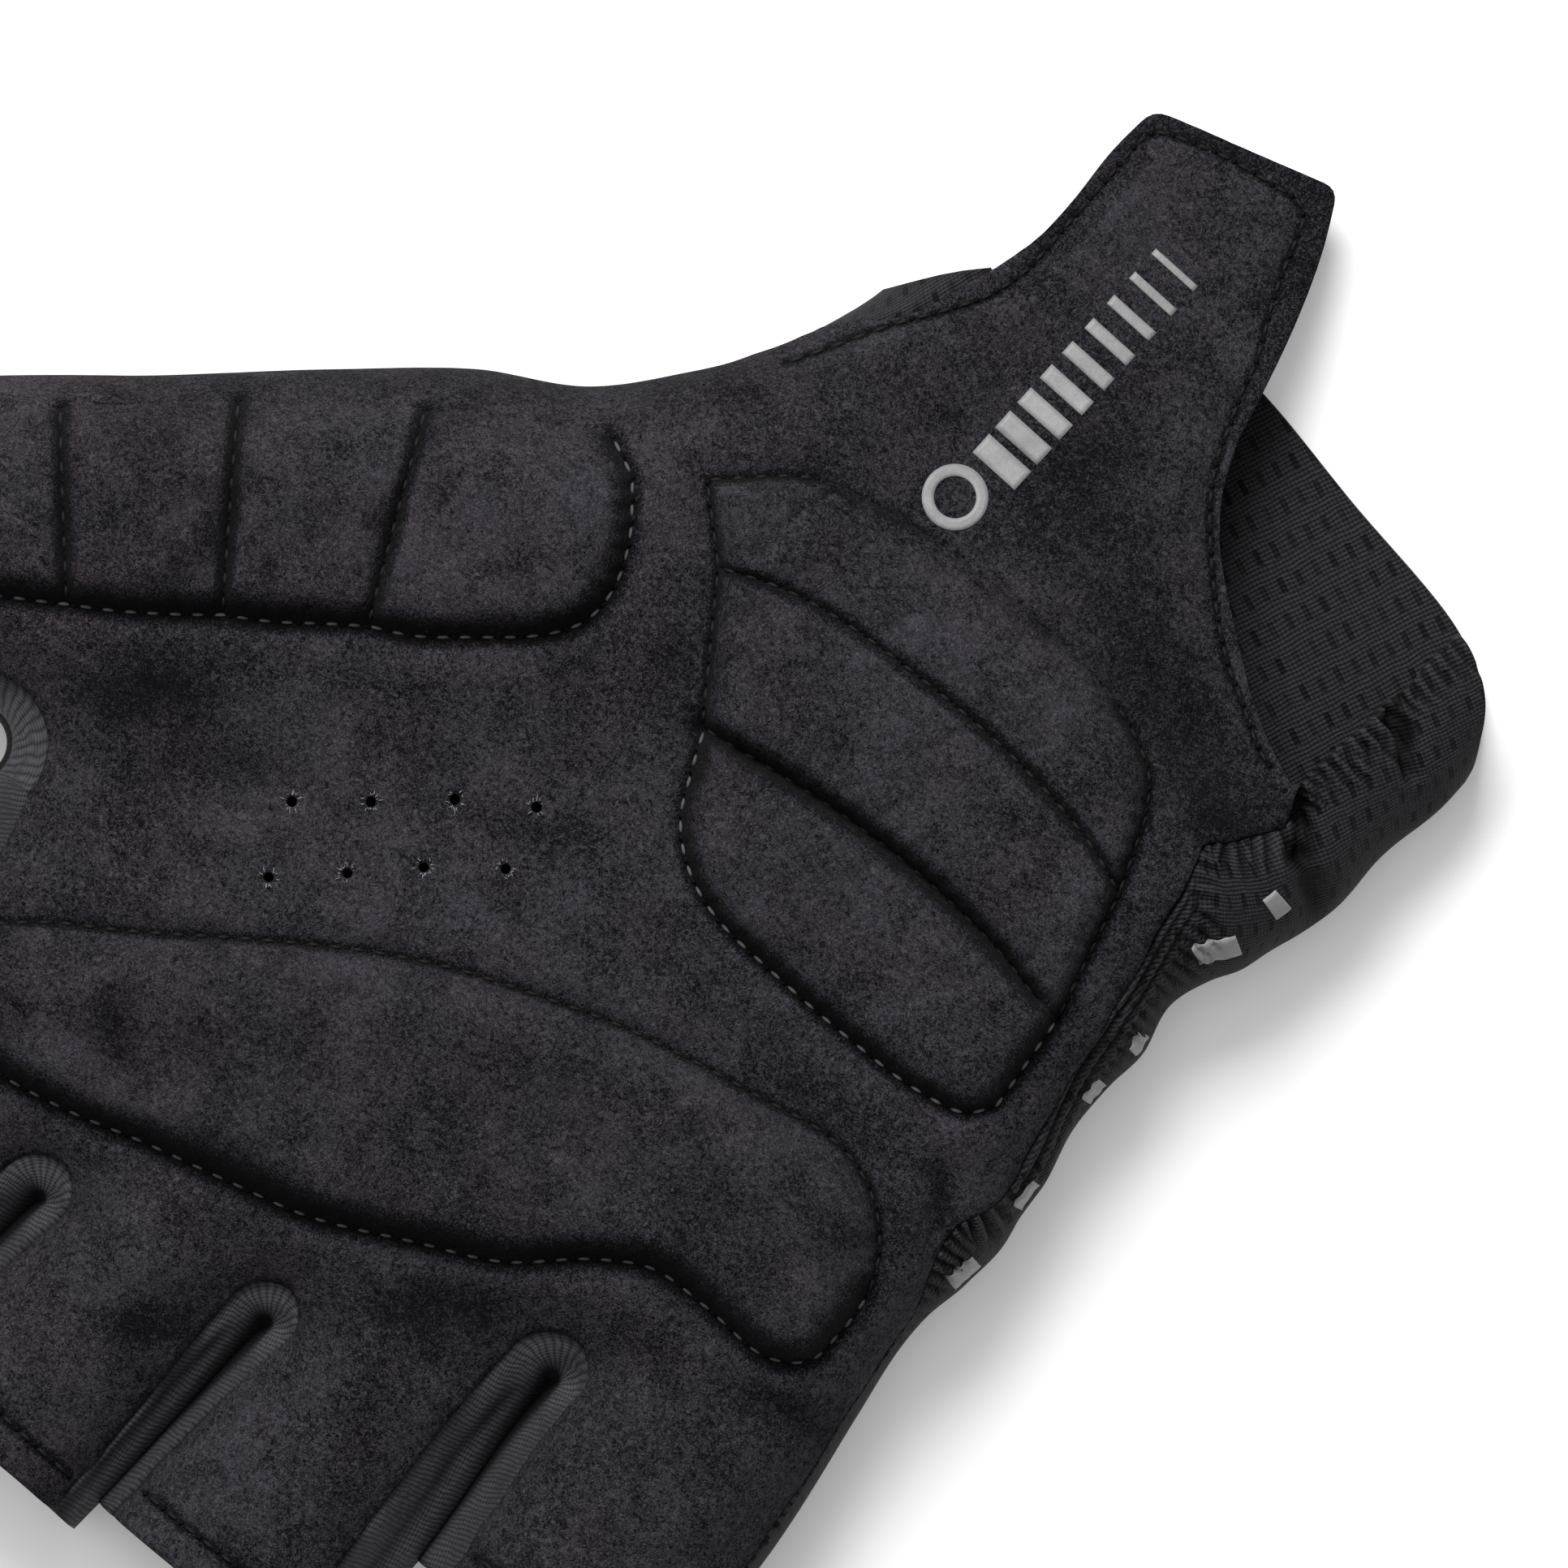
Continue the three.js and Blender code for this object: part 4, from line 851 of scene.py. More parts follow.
slit_edges = [side for left, right in reversed(slit_sides) for side in (right, left)]
finger_edges = [thenar_finger, *slit_edges, ulnar_finger]
hems = [hem_line(*pair) for pair in zip(finger_edges[::2], finger_edges[1::2])]
# Stitched lines: the line, the depth of its groove, how far its nap is darkened, partly crushed by the
# stitching and partly painted shade in the groove and down the pad's slope, the pads on which its thread
# lies, and its thread, painted lit along the pads' shaded rims and painted shaded on the other lines
Seam = namedtuple("Seam", "name line depth pressed over thread")
SEAMS = (
    Seam("heel_left", heel_left, 0.5, 0.44, None, "dark thread"),
    Seam("heel_low", heel_low, 0.6, 0.62, None, "pale thread"),
    Seam("heel_right", heel_right, 0.5, 0.5, None, "dark thread"),
    Seam("heel_channel", heel_channel, 0.8, 1.2, None, "dark thread"),
    Seam("heel_divider", heel_divider, 0, 0.64, HEEL, "dark thread"),
    Seam("knuckles_low", knuckle_rim, 0.7, 0.95, None, "pale thread"),
    Seam("knuckles_high", knuckle_far_rim, 0.5, 0.42, None, "dark thread"),
    Seam("thumb", thumb_rim, 0.65, 0.9, None, "pale thread"),
    *(Seam(f"thumb_divider_{number}", line, 0, 0.85, THUMB, "dark thread")
      for number, line in enumerate(thumb_dividers, 1)),
    Seam("wrist", catmull_rom(WRIST_STITCHES), 0.4, 0.34, None, "dark thread"),
    *(Seam(f"hem_{number}", line, 0.3, 0.45, None, "dark thread") for number, line in enumerate(hems, 1)),
)


def slope(distance, reach):
    return 1 - (1 - np.minimum(distance / reach, 1)) ** 2.2


def pad_rise(group, xy):
    """How high a pad's cover stands over the palm."""
    height = np.full(xy.shape[:-1], float(group.puff))
    for line, reach in group.rims:
        height *= slope(nearest_on(xy, line)[0], reach)
    for line, stays, reach in group.dividers:
        height *= stays + (1 - stays) * slope(nearest_on(xy, line)[0], reach)
    return height


def sink_under_pads(xy):
    """How far the palm is drawn down under the pads' covers."""
    sink = np.zeros(xy.shape[:-1])
    for group in PAD_GROUPS:
        outline = np.vstack([group.rims[0][0], group.rims[1][0][::-1]])
        distance, _ = nearest_on(xy, closed(outline))
        sink += np.where(inside(xy, outline), 0.7 * np.minimum(distance, 1), 0)
    return sink


tab_inner = catmull_rom(WRIST_STITCHES[8:21])[:, :2]
tab_outer = chain(catmull_rom(TAB_LEFT), catmull_rom(TAB_RIGHT)[::-1])


def tab_margin(xy):
    """How far a place lies outside the stitches on the tab's rolled edge."""
    beyond = np.clip(nearest_on(xy, tab_inner)[0] / 0.8, 0, 1) * (nearest_on(xy, tab_outer)[0] < 3.3)
    outside = ~inside(xy.reshape(-1, 2), tab_inner).reshape(xy.shape[:-1])
    return 0.34 * beyond * outside * np.clip((-60 - xy[..., 1]) / 4, 0, 1)


def suede_relief(xy, spread=1):
    """Height of the suede over the body's smooth surface, and how far its nap is darkened along stitched
    lines and the tab's margin, as crushed nap and as painted shade in the grooves and down the pads' slopes.
    """
    height = 0.42 * waves(xy, 26, 3) + 0.12 * waves(xy, 8, 5) + 0.035 * waves(xy, 2.6, 8)
    pressed_and_shaded_mask = np.zeros(xy.shape[:-1])
    for seam in SEAMS:
        distance, along = nearest_on(xy, seam.line)
        near = hump(distance, 0.95)
        gather = np.cos(2 * math.pi * along / STITCH_PITCH) * np.exp(-distance / 1.5)
        height += seam.depth * (0.45 * gather * (1 - 0.5 * near) - near)
        if seam.depth:
            height += 0.3 * hump(distance - 3, 1.8)
        # Painted shade as well as crushed nap: on the pads the dark band beside the rims sewn with lit thread
        # is widened by spread, down the slope that faces away from the light
        reach = seam.pressed * (spread if seam.thread == "pale thread" else 1)
        pressed_and_shaded_mask = np.maximum(pressed_and_shaded_mask, hump(distance, reach))
    return height, np.maximum(pressed_and_shaded_mask, tab_margin(xy))


def on_suede(xy, over):
    """Points a little over the palm's cloth, above places in plan."""
    points = surface(xy)
    points[..., 2] += suede_relief(xy)[0] + over
    return points


def stitch_count(seam):
    return int(lengths_along(seam.line)[-1] / STITCH_PITCH)


def sewn_points(seam, shares):
    """Points on the cloth at shares of a stitched line's length."""
    xy = place_on(seam.line, shares)[:, :2]
    points = on_suede(xy, 0.1)
    if seam.over:
        points[:, 2] += pad_rise(seam.over, xy)
    return points


# The pads' covers are simulated at ten times their size, where Blender's cloth behaves well
CLOTH_SCALE = 0.01
CLOTH_FRAMES = 22
CLOTH_SETTINGS = {
    "quality": 6, "mass": 0.15, "tension_stiffness": 30, "compression_stiffness": 30, "shear_stiffness": 12,
    "bending_stiffness": 0.25, "vertex_group_mass": "sewn", "shrink_min": -0.018, "use_pressure": True,
    "uniform_pressure_force": 2,
}
# The share of the cloth's move that is kept, and the furthest that a point may go
CLOTH_SHARE = 0.8
CLOTH_REACH = 0.45


def settled_cover(cover):
    """The cover's points after it has settled as cloth, sewn down all round and pushed up by its filling."""
    number, corners = grid_cells(cover)
    middle = cover.reshape(-1, 3).mean(0)
    mesh = bpy.data.meshes.new("cover")
    points = (cover.reshape(-1, 3) - middle) * CLOTH_SCALE
    mesh.from_pydata(points.tolist(), [], np.stack(corners, 1).tolist())
    if mesh.polygons[0].normal.z < 0:
        mesh.flip_normals()
    cloth = put_in_scene("cover", mesh)
    sewn = np.concatenate([number[0], number[-1], number[:, 0], number[:, -1]])
    cloth.vertex_groups.new(name="sewn").add(sewn.tolist(), 1, "REPLACE")
    settings = cloth.modifiers.new("cloth", "CLOTH").settings
    for name, value in CLOTH_SETTINGS.items():
        setattr(settings, name, value)
    settings.effector_weights.gravity = 0
    scene = bpy.context.scene
    for step in range(1, CLOTH_FRAMES + 1):
        scene.frame_set(step)
    settled = cloth.evaluated_get(bpy.context.evaluated_depsgraph_get())
    points = np.empty(cover.size)
    settled.data.vertices.foreach_get("co", points)
    scene.frame_set(1)
    bpy.data.objects.remove(cloth)
    bpy.data.meshes.remove(mesh)
    return (points.reshape(-1, 3) / CLOTH_SCALE + middle).reshape(cover.shape)


def pad_cover(group, pad, puff):
    """Grids of the points of a pad's cover and of the palm's surface under it."""
    a, b = catmull_rom(pad.a), catmull_rom(pad.b)
    length = max(lengths_along(a)[-1], lengths_along(b)[-1])
    width = np.linalg.norm(place_on(a, (0.5,)) - place_on(b, (0.5,)))
    u, v = np.linspace(0, 1, int(length / PAD_STEP) + 1), np.linspace(0, 1, int(width / PAD_STEP) + 1)
    start, end = place_on(a, u), place_on(b, u)
    xy = start[:, None] + (end - start)[:, None] * v[:, None]
    seat = surface(xy)
    relief, pressed_and_shaded_mask = suede_relief(xy, 2)
    seat[..., 2] += relief
    cover = seat.copy()
    cover[..., 2] += puff * pad_rise(group, xy)
    move = settled_cover(cover) - cover
    cover += np.clip(CLOTH_SHARE * move, -CLOTH_REACH, CLOTH_REACH)
    return cover, seat, pressed_and_shaded_mask


# Materials

def add_node(tree, kind, settings=None, **inputs):
    """A node with its settings and inputs; an input is a value or another node's socket."""
    made = tree.nodes.new(kind)
    for name, value in (settings or {}).items():
        setattr(made, name, value)
    for name, value in inputs.items():
        key = int(name[1:]) if name[1:].isdigit() else name.replace("_", " ")
        if isinstance(value, bpy.types.NodeSocket):
            tree.links.new(value, made.inputs[key])
        else:
            made.inputs[key].default_value = value
    return made


def maths(tree, operation, *values):
    inputs = {f"i{i}": value for i, value in enumerate(values)}
    return add_node(tree, "ShaderNodeMath", {"operation": operation}, **inputs).outputs[0]


def scaled(tree, value, by, add=0):
    """A value times another one, with a third one added."""
    return maths(tree, "MULTIPLY_ADD", value, by, add)


def times(tree, *values):
    return maths(tree, "MULTIPLY", *values)


def ridges(tree, turns):
    """Rounded ridges, from 0 to 1, at each half turn."""
    return maths(tree, "ABSOLUTE", maths(tree, "SINE", turns))


def clamped(tree, value):
    return add_node(tree, "ShaderNodeClamp", Value=value).outputs[0]


def ranged(tree, value, low, high, start, end, **settings):
    """A value between two others, carried to a range of its own."""
    return add_node(tree, "ShaderNodeMapRange", settings, Value=value, From_Min=low, From_Max=high,
                    To_Min=start, To_Max=end).outputs[0]


def mixed(tree, share, first, second):
    """A colour between two others."""
    return add_node(tree, "ShaderNodeMix", {"data_type": "RGBA"}, i0=share, i6=first, i7=second).outputs[2]


def noise(tree, place, scale, detail=2, roughness=0.5, distortion=0):
    return add_node(tree, "ShaderNodeTexNoise", Vector=place, Scale=scale, Detail=detail, Roughness=roughness,
                    Distortion=distortion).outputs["Fac"]


def mask(tree, name):
    """One of the mesh's own masks."""
    return add_node(tree, "ShaderNodeAttribute", {"attribute_name": name}).outputs["Fac"]


def object_place(tree):
    return add_node(tree, "ShaderNodeTexCoord").outputs["Object"]


def new_group(name, inputs, outputs):
    group = bpy.data.node_groups.new(name, "ShaderNodeTree")
    for direction, sockets in (("INPUT", inputs), ("OUTPUT", outputs)):
        for label, kind in sockets.items():
            group.interface.new_socket(label, in_out=direction, socket_type=f"NodeSocket{kind}")
    return group, group.nodes.new("NodeGroupInput").outputs, group.nodes.new("NodeGroupOutput").inputs


# Noises of the suede's nap, from broad patches to single fibres: size, detail, roughness and distortion
NAP_NOISES = (
    (55, 4, 0.6, 0.5), (240, 4, 0.65, 0.3), (90, 2, 0.5, 0), (1600, 3, 0.6, 0.5), (4000, 2, 0.6, 0.9),
    (1900, 1, 0.5, 1.5),
)


def nap_group():
    """Short nap from brushing: fine clumped fibres, dark patches where the nap lies flat and where shade is
    painted, and dark flecks along stitched lines where the nap is crushed and where shade is painted.
    """
    group, given, out = new_group(
        "Suede nap", {"Light": "Color", "Warm": "Color", "Dark": "Color", "Grain": "Float"},
        {"Color": "Color", "Height": "Float"})
    place, seam, brushed = object_place(group), mask(group, "seam"), mask(group, "brushed")
    broad, patchy, hue, clump, nap, curl = (
        maths(group, "SUBTRACT", noise(group, place, *look), 0.5) for look in NAP_NOISES)
    wisp = clamped(group, scaled(group, maths(group, "ABSOLUTE", curl), -11, 1))
    fine = scaled(group, clump, 1.05, scaled(group, nap, 1.15, times(group, wisp, 0.55)))
    # Dark patches, partly nap flattened by brushing and partly painted shade, darken the nap here and again
    # below
    shade = scaled(group, brushed, -0.4, scaled(group, patchy, 0.85, scaled(group, broad, 0.9, 0.22)))
    shade = scaled(group, fine, given["Grain"], shade)
    # Flecked dark along the seams: crushed nap and painted shade in the grooves and below the rims
    flecked = clamped(group, scaled(group, clump, 1.6, scaled(group, patchy, 1.3, seam)))
    pressed = times(group, flecked, clamped(group, times(group, seam, 4)))
    shade = clamped(group, maths(group, "SUBTRACT", shade, times(group, pressed, 0.8)))
    shade = times(group, shade, ranged(group, brushed, 0, 1, 1, 0.55))
    across_hand = add_node(group, "ShaderNodeSeparateXYZ", Vector=place).outputs[0]
    warmth = clamped(group, scaled(group, hue, 2.5, scaled(group, across_hand, 6, 0.28)))
    light = mixed(group, warmth, given["Light"], given["Warm"])
    group.links.new(mixed(group, shade, given["Dark"], light), out["Color"])
    group.links.new(scaled(group, clump, 1.2, scaled(group, wisp, 0.35, nap)), out["Height"])


def fabric_lines_group():
    """Places along and across slanting fabric lines, in millimetres, and the painted fold light: a factor
    that darkens the cloth's tone as painted shade in its folds and lightens it on their ridges.
    """
    group, given, out = new_group(
        "Fabric lines", {"Turn": "Float", "Pitch": "Float", "Waviness": "Float"},
        {"Along": "Float", "Across": "Float", "Ridge": "Float", "Shown": "Float"})
    cloth = add_node(group, "ShaderNodeUVMap", {"uv_map": "cloth"}).outputs[0]
    angle = add_node(group, "ShaderNodeCombineXYZ", Z=given["Turn"]).outputs[0]
    turned = add_node(group, "ShaderNodeVectorRotate", {"rotation_type": "EULER_XYZ"},
                      Vector=cloth, Rotation=angle).outputs[0]
    parts = add_node(group, "ShaderNodeSeparateXYZ", Vector=turned).outputs
    across = scaled(group, noise(group, cloth, 0.3), given["Waviness"], parts[1])
    turns = maths(group, "DIVIDE", times(group, across, math.pi), given["Pitch"])
    ridge = times(group, ridges(group, turns), times(group, noise(group, cloth, 1.4, 2, 0.6), 2))
    # Painted fold light: below 1 for the painted shade in the folds, above 1 for the lighter ridges
    painted_fold_light = ranged(group, mask(group, "folded"), 0, 1, 1, 0.06, clamp=False)
    for name, value in (("Along", parts[0]), ("Across", across), ("Ridge", ridge), ("Shown", painted_fold_light)):
        group.links.new(value, out[name])


def new_material(name, roughness, specular=0.5):
    """The nodes and the shader of a new material, with its plain values set."""
    material = bpy.data.materials.new(name)
    material.use_nodes = True
    shader = material.node_tree.nodes["Principled BSDF"]
    shader.inputs["Roughness"].default_value = roughness
    shader.inputs["Specular IOR Level"].default_value = specular
    return material.node_tree, shader


def darker(colour, share):
    return tuple(value * share for value in colour)


def two_tone(tree, shader, share, dark, light):
    tree.links.new(mixed(tree, share, (*dark, 1), (*light, 1)), shader.inputs["Base Color"])


def raised(tree, shader, height, strength, distance):
    bump = add_node(tree, "ShaderNodeBump", Strength=strength, Distance=distance, Height=height)
    tree.links.new(bump.outputs[0], shader.inputs["Normal"])


def suede_material(name, light, warm, dark, grain=1.2):
    tree, shader = new_material(name, 0.95, 0.03)
    nap = add_node(tree, "ShaderNodeGroup", {"node_tree": bpy.data.node_groups["Suede nap"]},
                   Light=(*light, 1), Warm=(*warm, 1), Dark=(*dark, 1), Grain=grain).outputs
    tree.links.new(nap["Color"], shader.inputs["Base Color"])
    raised(tree, shader, nap["Height"], 0.85, 0.00022)
    shader.inputs["Sheen Weight"].default_value = 0.02
    shader.inputs["Sheen Roughness"].default_value = 0.5


def fabric_lines(tree, turn, pitch, waviness):
    return add_node(tree, "ShaderNodeGroup", {"node_tree": bpy.data.node_groups["Fabric lines"]},
                    Turn=math.radians(turn), Pitch=pitch, Waviness=waviness).outputs


# The knit's sunk ticks: from one to the next along a rib, and from row to row
TICK_PITCH = 1.9
TICK_ROW = 3.5


def knit_material(name, colour):
    """Fine ribbed knit with rows of short sunk ticks across its ribs."""
    tree, shader = new_material(name, 0.66, 0.08)
    rib = fabric_lines(tree, -69, 0.45, 0.6)
    row = maths(tree, "DIVIDE", rib["Across"], TICK_ROW)
    shift = times(tree, maths(tree, "FLOOR", row), 0.5)
    cell = scaled(tree, rib["Along"], 1 / TICK_PITCH, shift)
    number = add_node(tree, "ShaderNodeCombineXYZ", X=maths(tree, "FLOOR", cell), Y=maths(tree, "FLOOR", row))
    chance = add_node(tree, "ShaderNodeTexWhiteNoise", Vector=number.outputs[0]).outputs["Value"]

    def middle_of(value, half):
        off = maths(tree, "ABSOLUTE", maths(tree, "SUBTRACT", maths(tree, "FRACT", value), 0.5))
        return ranged(tree, off, half, half + 0.09, 1, 0, interpolation_type="SMOOTHSTEP")

    tick = times(tree, middle_of(cell, 0.09), middle_of(row, 0.2))
    tick = times(tree, tick, scaled(tree, chance, 0.7, 0.4))
    loop = ridges(tree, times(tree, rib["Along"], math.pi / 0.42))
    height = maths(tree, "SUBTRACT", scaled(tree, loop, 0.25, rib["Ridge"]), times(tree, tick, 1.8))
    tone = scaled(tree, rib["Ridge"], 0.72, scaled(tree, loop, 0.36, -0.2))
    tone = times(tree, tone, maths(tree, "SUBTRACT", 1.1, tick))
    # The knit's tone darkened by painted shade in its valleys and creases and lightened on their ridges
    tone = clamped(tree, times(tree, tone, rib["Shown"]))
    two_tone(tree, shader, tone, darker(colour, 0.12), colour)
    raised(tree, shader, height, 0.8, 0.0001)


def jersey_material(name, colour):
    """Stretch jersey: fine slanting ribs with a soft shine."""
    tree, shader = new_material(name, 0.5, 0.1)
    rib = fabric_lines(tree, -12, 0.5, 1.1)
    knot = ridges(tree, times(tree, rib["Along"], math.pi / 0.33))
    tone = scaled(tree, knot, 0.4, scaled(tree, rib["Ridge"], 0.55, -0.04))
    # The jersey's tone darkened by painted shade in its folds and lightened on their ridges
    two_tone(tree, shader, times(tree, tone, rib["Shown"]), darker(colour, 0.12), colour)
    raised(tree, shader, scaled(tree, knot, 0.3, rib["Ridge"]), 0.8, 0.00007)
    # Rougher in the painted shade of the folds, so that they show no reflection
    tree.links.new(ranged(tree, rib["Shown"], 0, 1, 1, 0.5), shader.inputs["Roughness"])


def thread_material(name, colour):
    tree, shader = new_material(name, 0.7, 0.1)
    two_tone(tree, shader, noise(tree, object_place(tree), 3500), darker(colour, 0.45), colour)


def print_material(name, colour):
    """Pale reflective print, worn through a little by the cloth under it."""
    tree, shader = new_material(name, 0.5)
    worn = noise(tree, object_place(tree), 2200, 4, 0.7)
    two_tone(tree, shader, worn, darker(colour, 0.6), colour)
    raised(tree, shader, worn, 0.5, 0.0001)


# Settings

def cloth_colour(name, description, *screen):
    """A colour that the user can change, with its default in 8-bit screen values."""
    return FloatVectorProperty(
        name=name, description=description, subtype="COLOR", default=srgb(*screen), min=0, max=1)


class GloveSizes(bpy.types.PropertyGroup):
    suede_thickness: FloatProperty(
        name="Suede", description="Thickness of the suede, in millimetres", default=1.4, min=0.8, max=2.5)
    knit_thickness: FloatProperty(
        name="Knit", description="Thickness of the knitted back, in millimetres", default=1.8, min=1, max=3)
    jersey_thickness: FloatProperty(
        name="Jersey", description="Thickness of the strips between the fingers, in millimetres", default=1.2,
        min=0.8, max=2)
    puff: FloatProperty(
        name="Puff", description="How full the pads are, as a share of their usual height", subtype="FACTOR",
        default=1, min=0.5, max=1.3)
    fibres: IntProperty(
        name="Fibres", description="Loose pale fibres round each vent hole", default=16, min=0, max=40)


class GloveColours(bpy.types.PropertyGroup):
    suede_light: cloth_colour("Suede, raised nap", "Colour of the suede where its nap stands up", 67, 66, 73)
    suede_warm: cloth_colour("Suede, warm nap", "Colour of the raised nap in its warmer patches", 72, 65, 71)
    # The dark colour is also what the painted shade along the seams and in the dark patches darkens the nap
    # towards
    suede_dark: cloth_colour("Suede, brushed nap", "Colour of the suede where its nap lies flat", 13, 13, 15)
    knit: cloth_colour("Knit", "Colour of the knitted back", 48, 48, 51)
    jersey: cloth_colour("Jersey", "Colour of the strips between the fingers", 72, 71, 75)
    # The thread's colour as it shows lit; its shaded copy is painted darker from it
    thread: cloth_colour("Thread", "Colour of the sewing thread", 94, 93, 93)
    print_grey: cloth_colour("Print", "Colour of the plain printed shapes", 142, 142, 143)


# Pieces

class GLOVE_OT_materials(bpy.types.Operator):
    """Makes the glove's cloths, thread and print"""
    bl_idname = "glove.materials"
    bl_label = "Glove Materials"

    def execute(self, context):
        colours = context.scene.glove_colours
        nap_group()
        fabric_lines_group()
        suede = colours.suede_light, colours.suede_warm, colours.suede_dark
        suede_material("palm suede", *suede)
        suede_material("pad suede", *suede, 1.1)
        suede_material("tab suede", *(darker(colour, 0.6) for colour in suede), 1.1)
        knit_material("rib knit", colours.knit)
        jersey_material("stretch jersey", colours.jersey)
        # Lit and shaded copies of one thread: lit for the pads' shaded rims, shaded for the other lines
        thread_material("pale thread", colours.thread)
        thread_material("dark thread", darker(colours.thread, 0.16))
        # Near-black sunk tubes: painted shade in the holes the needle left
        thread_material("needle hole", srgb(9, 9, 10))
        thread_material("frayed fibre", srgb(150, 149, 152))
        print_material("plain print", colours.print_grey)
        return {"FINISHED"}


class GLOVE_OT_palm(bpy.types.Operator):
    """Makes the suede palm with the fronts of the fingers, the pull tab and the vent holes"""
    bl_idname = "glove.palm"
    bl_label = "Palm Panel"

    def execute(self, context):
        sizes = context.scene.glove_sizes
        points, faces, cloth, normals = weld(palm_patches())
        relief, pressed_and_shaded_mask = suede_relief(points[:, :2])
        relief -= sink_under_pads(points[:, :2])
        inner = points - normals * sizes.suede_thickness
        top = np.clip(normals[:, 2] * 2, 0, 1)
        points = points + normals * (relief * top)[:, None]
        # Masks of the darkening along the seams and in the dark patches: partly the nap's own and partly
        # painted shade
        masks = {"seam": pressed_and_shaded_mask, "brushed": soft_patches(points[:, :2], BRUSHED_AND_SHADED)}
        mesh = shell_mesh("palm_suede", points, faces, cloth, inner, masks, 0.12)
        place_piece(mesh, "palm suede", ["palm_panel"])
        return {"FINISHED"}


class GLOVE_OT_pads(bpy.types.Operator):
    """Makes the stitched pads on the heel, the knuckles and the thumb"""
    bl_idname = "glove.pads"
    bl_label = "Pads"

    def execute(self, context):
        for group in PAD_GROUPS:
            for pad in group.pads:
                cover, seat, pressed_and_shaded_mask = pad_cover(group, pad, context.scene.glove_sizes.puff)
                seat[..., 2] -= 0.1
                patch = grid_patch(cover)
                faces = patch.faces
                if normals_of(cover.reshape(-1, 3), faces)[:, 2].mean() < 0:
                    faces = faces[:, ::-1]
                # Masks of the darkening along the seams and in the dark patches: partly the nap's own and
                # partly painted shade
                masks = {"seam": pressed_and_shaded_mask.ravel(), "brushed": soft_patches(patch.points[:, :2], BRUSHED_AND_SHADED)}
                mesh = shell_mesh(f"{pad.name}_suede", patch.points, faces, patch.cloth[faces],
                                  seat.reshape(-1, 3), masks)
                piece = place_piece(mesh, "pad suede", [pad.name])
        return {"FINISHED"}


class GLOVE_OT_tab_backing(bpy.types.Operator):
    """Makes the second layer of the pull tab"""
    bl_idname = "glove.tab_backing"
    bl_label = "Pull Tab Backing"

    def execute(self, context):
        sizes = context.scene.glove_sizes
        left, right = (catmull_rom([root, *edge]) for root, edge in zip(BACKING_ROOT, (TAB_LEFT, TAB_RIGHT)))
        rows = np.linspace(0, 1, 60)
        start, end = place_on(left, rows), place_on(right, rows)
        xy = start[:, None] + (end - start)[:, None] * np.linspace(0.012, 0.988, 34)[:, None]
        points, faces, cloth, normals = weld([grid_patch(surface(xy))])
        outer = points - normals * (sizes.suede_thickness + 0.3)
        inner = outer - normals * sizes.suede_thickness
        masks = {"seam": np.zeros(len(points))}
        mesh = shell_mesh("tab_backing_suede", outer, faces, cloth, inner, masks, 0.15)
        place_piece(mesh, "tab suede", ["pull_tab_backing"])
        return {"FINISHED"}


class GLOVE_OT_back(bpy.types.Operator):
    """Makes the knitted back with its rolled little-finger side and the cuff"""
    bl_idname = "glove.back"
    bl_label = "Knitted Back"

    def execute(self, context):
        points, faces, cloth, normals = weld(back_patches())
        inner = points - normals * context.scene.glove_sizes.knit_thickness
        lift, folded = knit_relief(points)
        points = points + normals * lift[:, None]
        inner = inner + normals * (0.5 * lift)[:, None]
        # The knit's mask of painted fold shading
        mesh = shell_mesh("back_knit", points, faces, cloth, inner, {"folded": folded}, 0.15)
        place_piece(mesh, "rib knit", ["back_panel"])
        return {"FINISHED"}


ulnar_seam = palm_seam(stations_on(ulnar_line, np.linspace(0, ULNAR_SHARES[1], 300), -1))[:, :2]
# Sharp folds of the knit at the cuff: places along each one, its depth and half its width
KNIT_FOLDS = (
    (np.array([(-37.6, -55.2), (-40, -53.2), (-43, -50.6), (-47.4, -47.8)]), 1.1, 0.6),
    (np.array([(-41, -38), (-42.6, -36.8), (-44.8, -34.8)]), 1.5, 0.8),
    (np.array([(-44.8, -34.8), (-47.6, -33), (-50.4, -31)]), 0.9, 1.2),
)
CUFF_GATHERS = catmull_rom([(-40.6, -39.4), (-41.4, -42.2), (-42.5, -46), (-43.4, -49.6)])


def gathers(turns, sharpness):
    """Gathers of the cloth, one to a turn: 1 in the valleys and 0 on the ridges."""
    return (0.5 + 0.5 * np.cos(2 * math.pi * turns)) ** sharpness


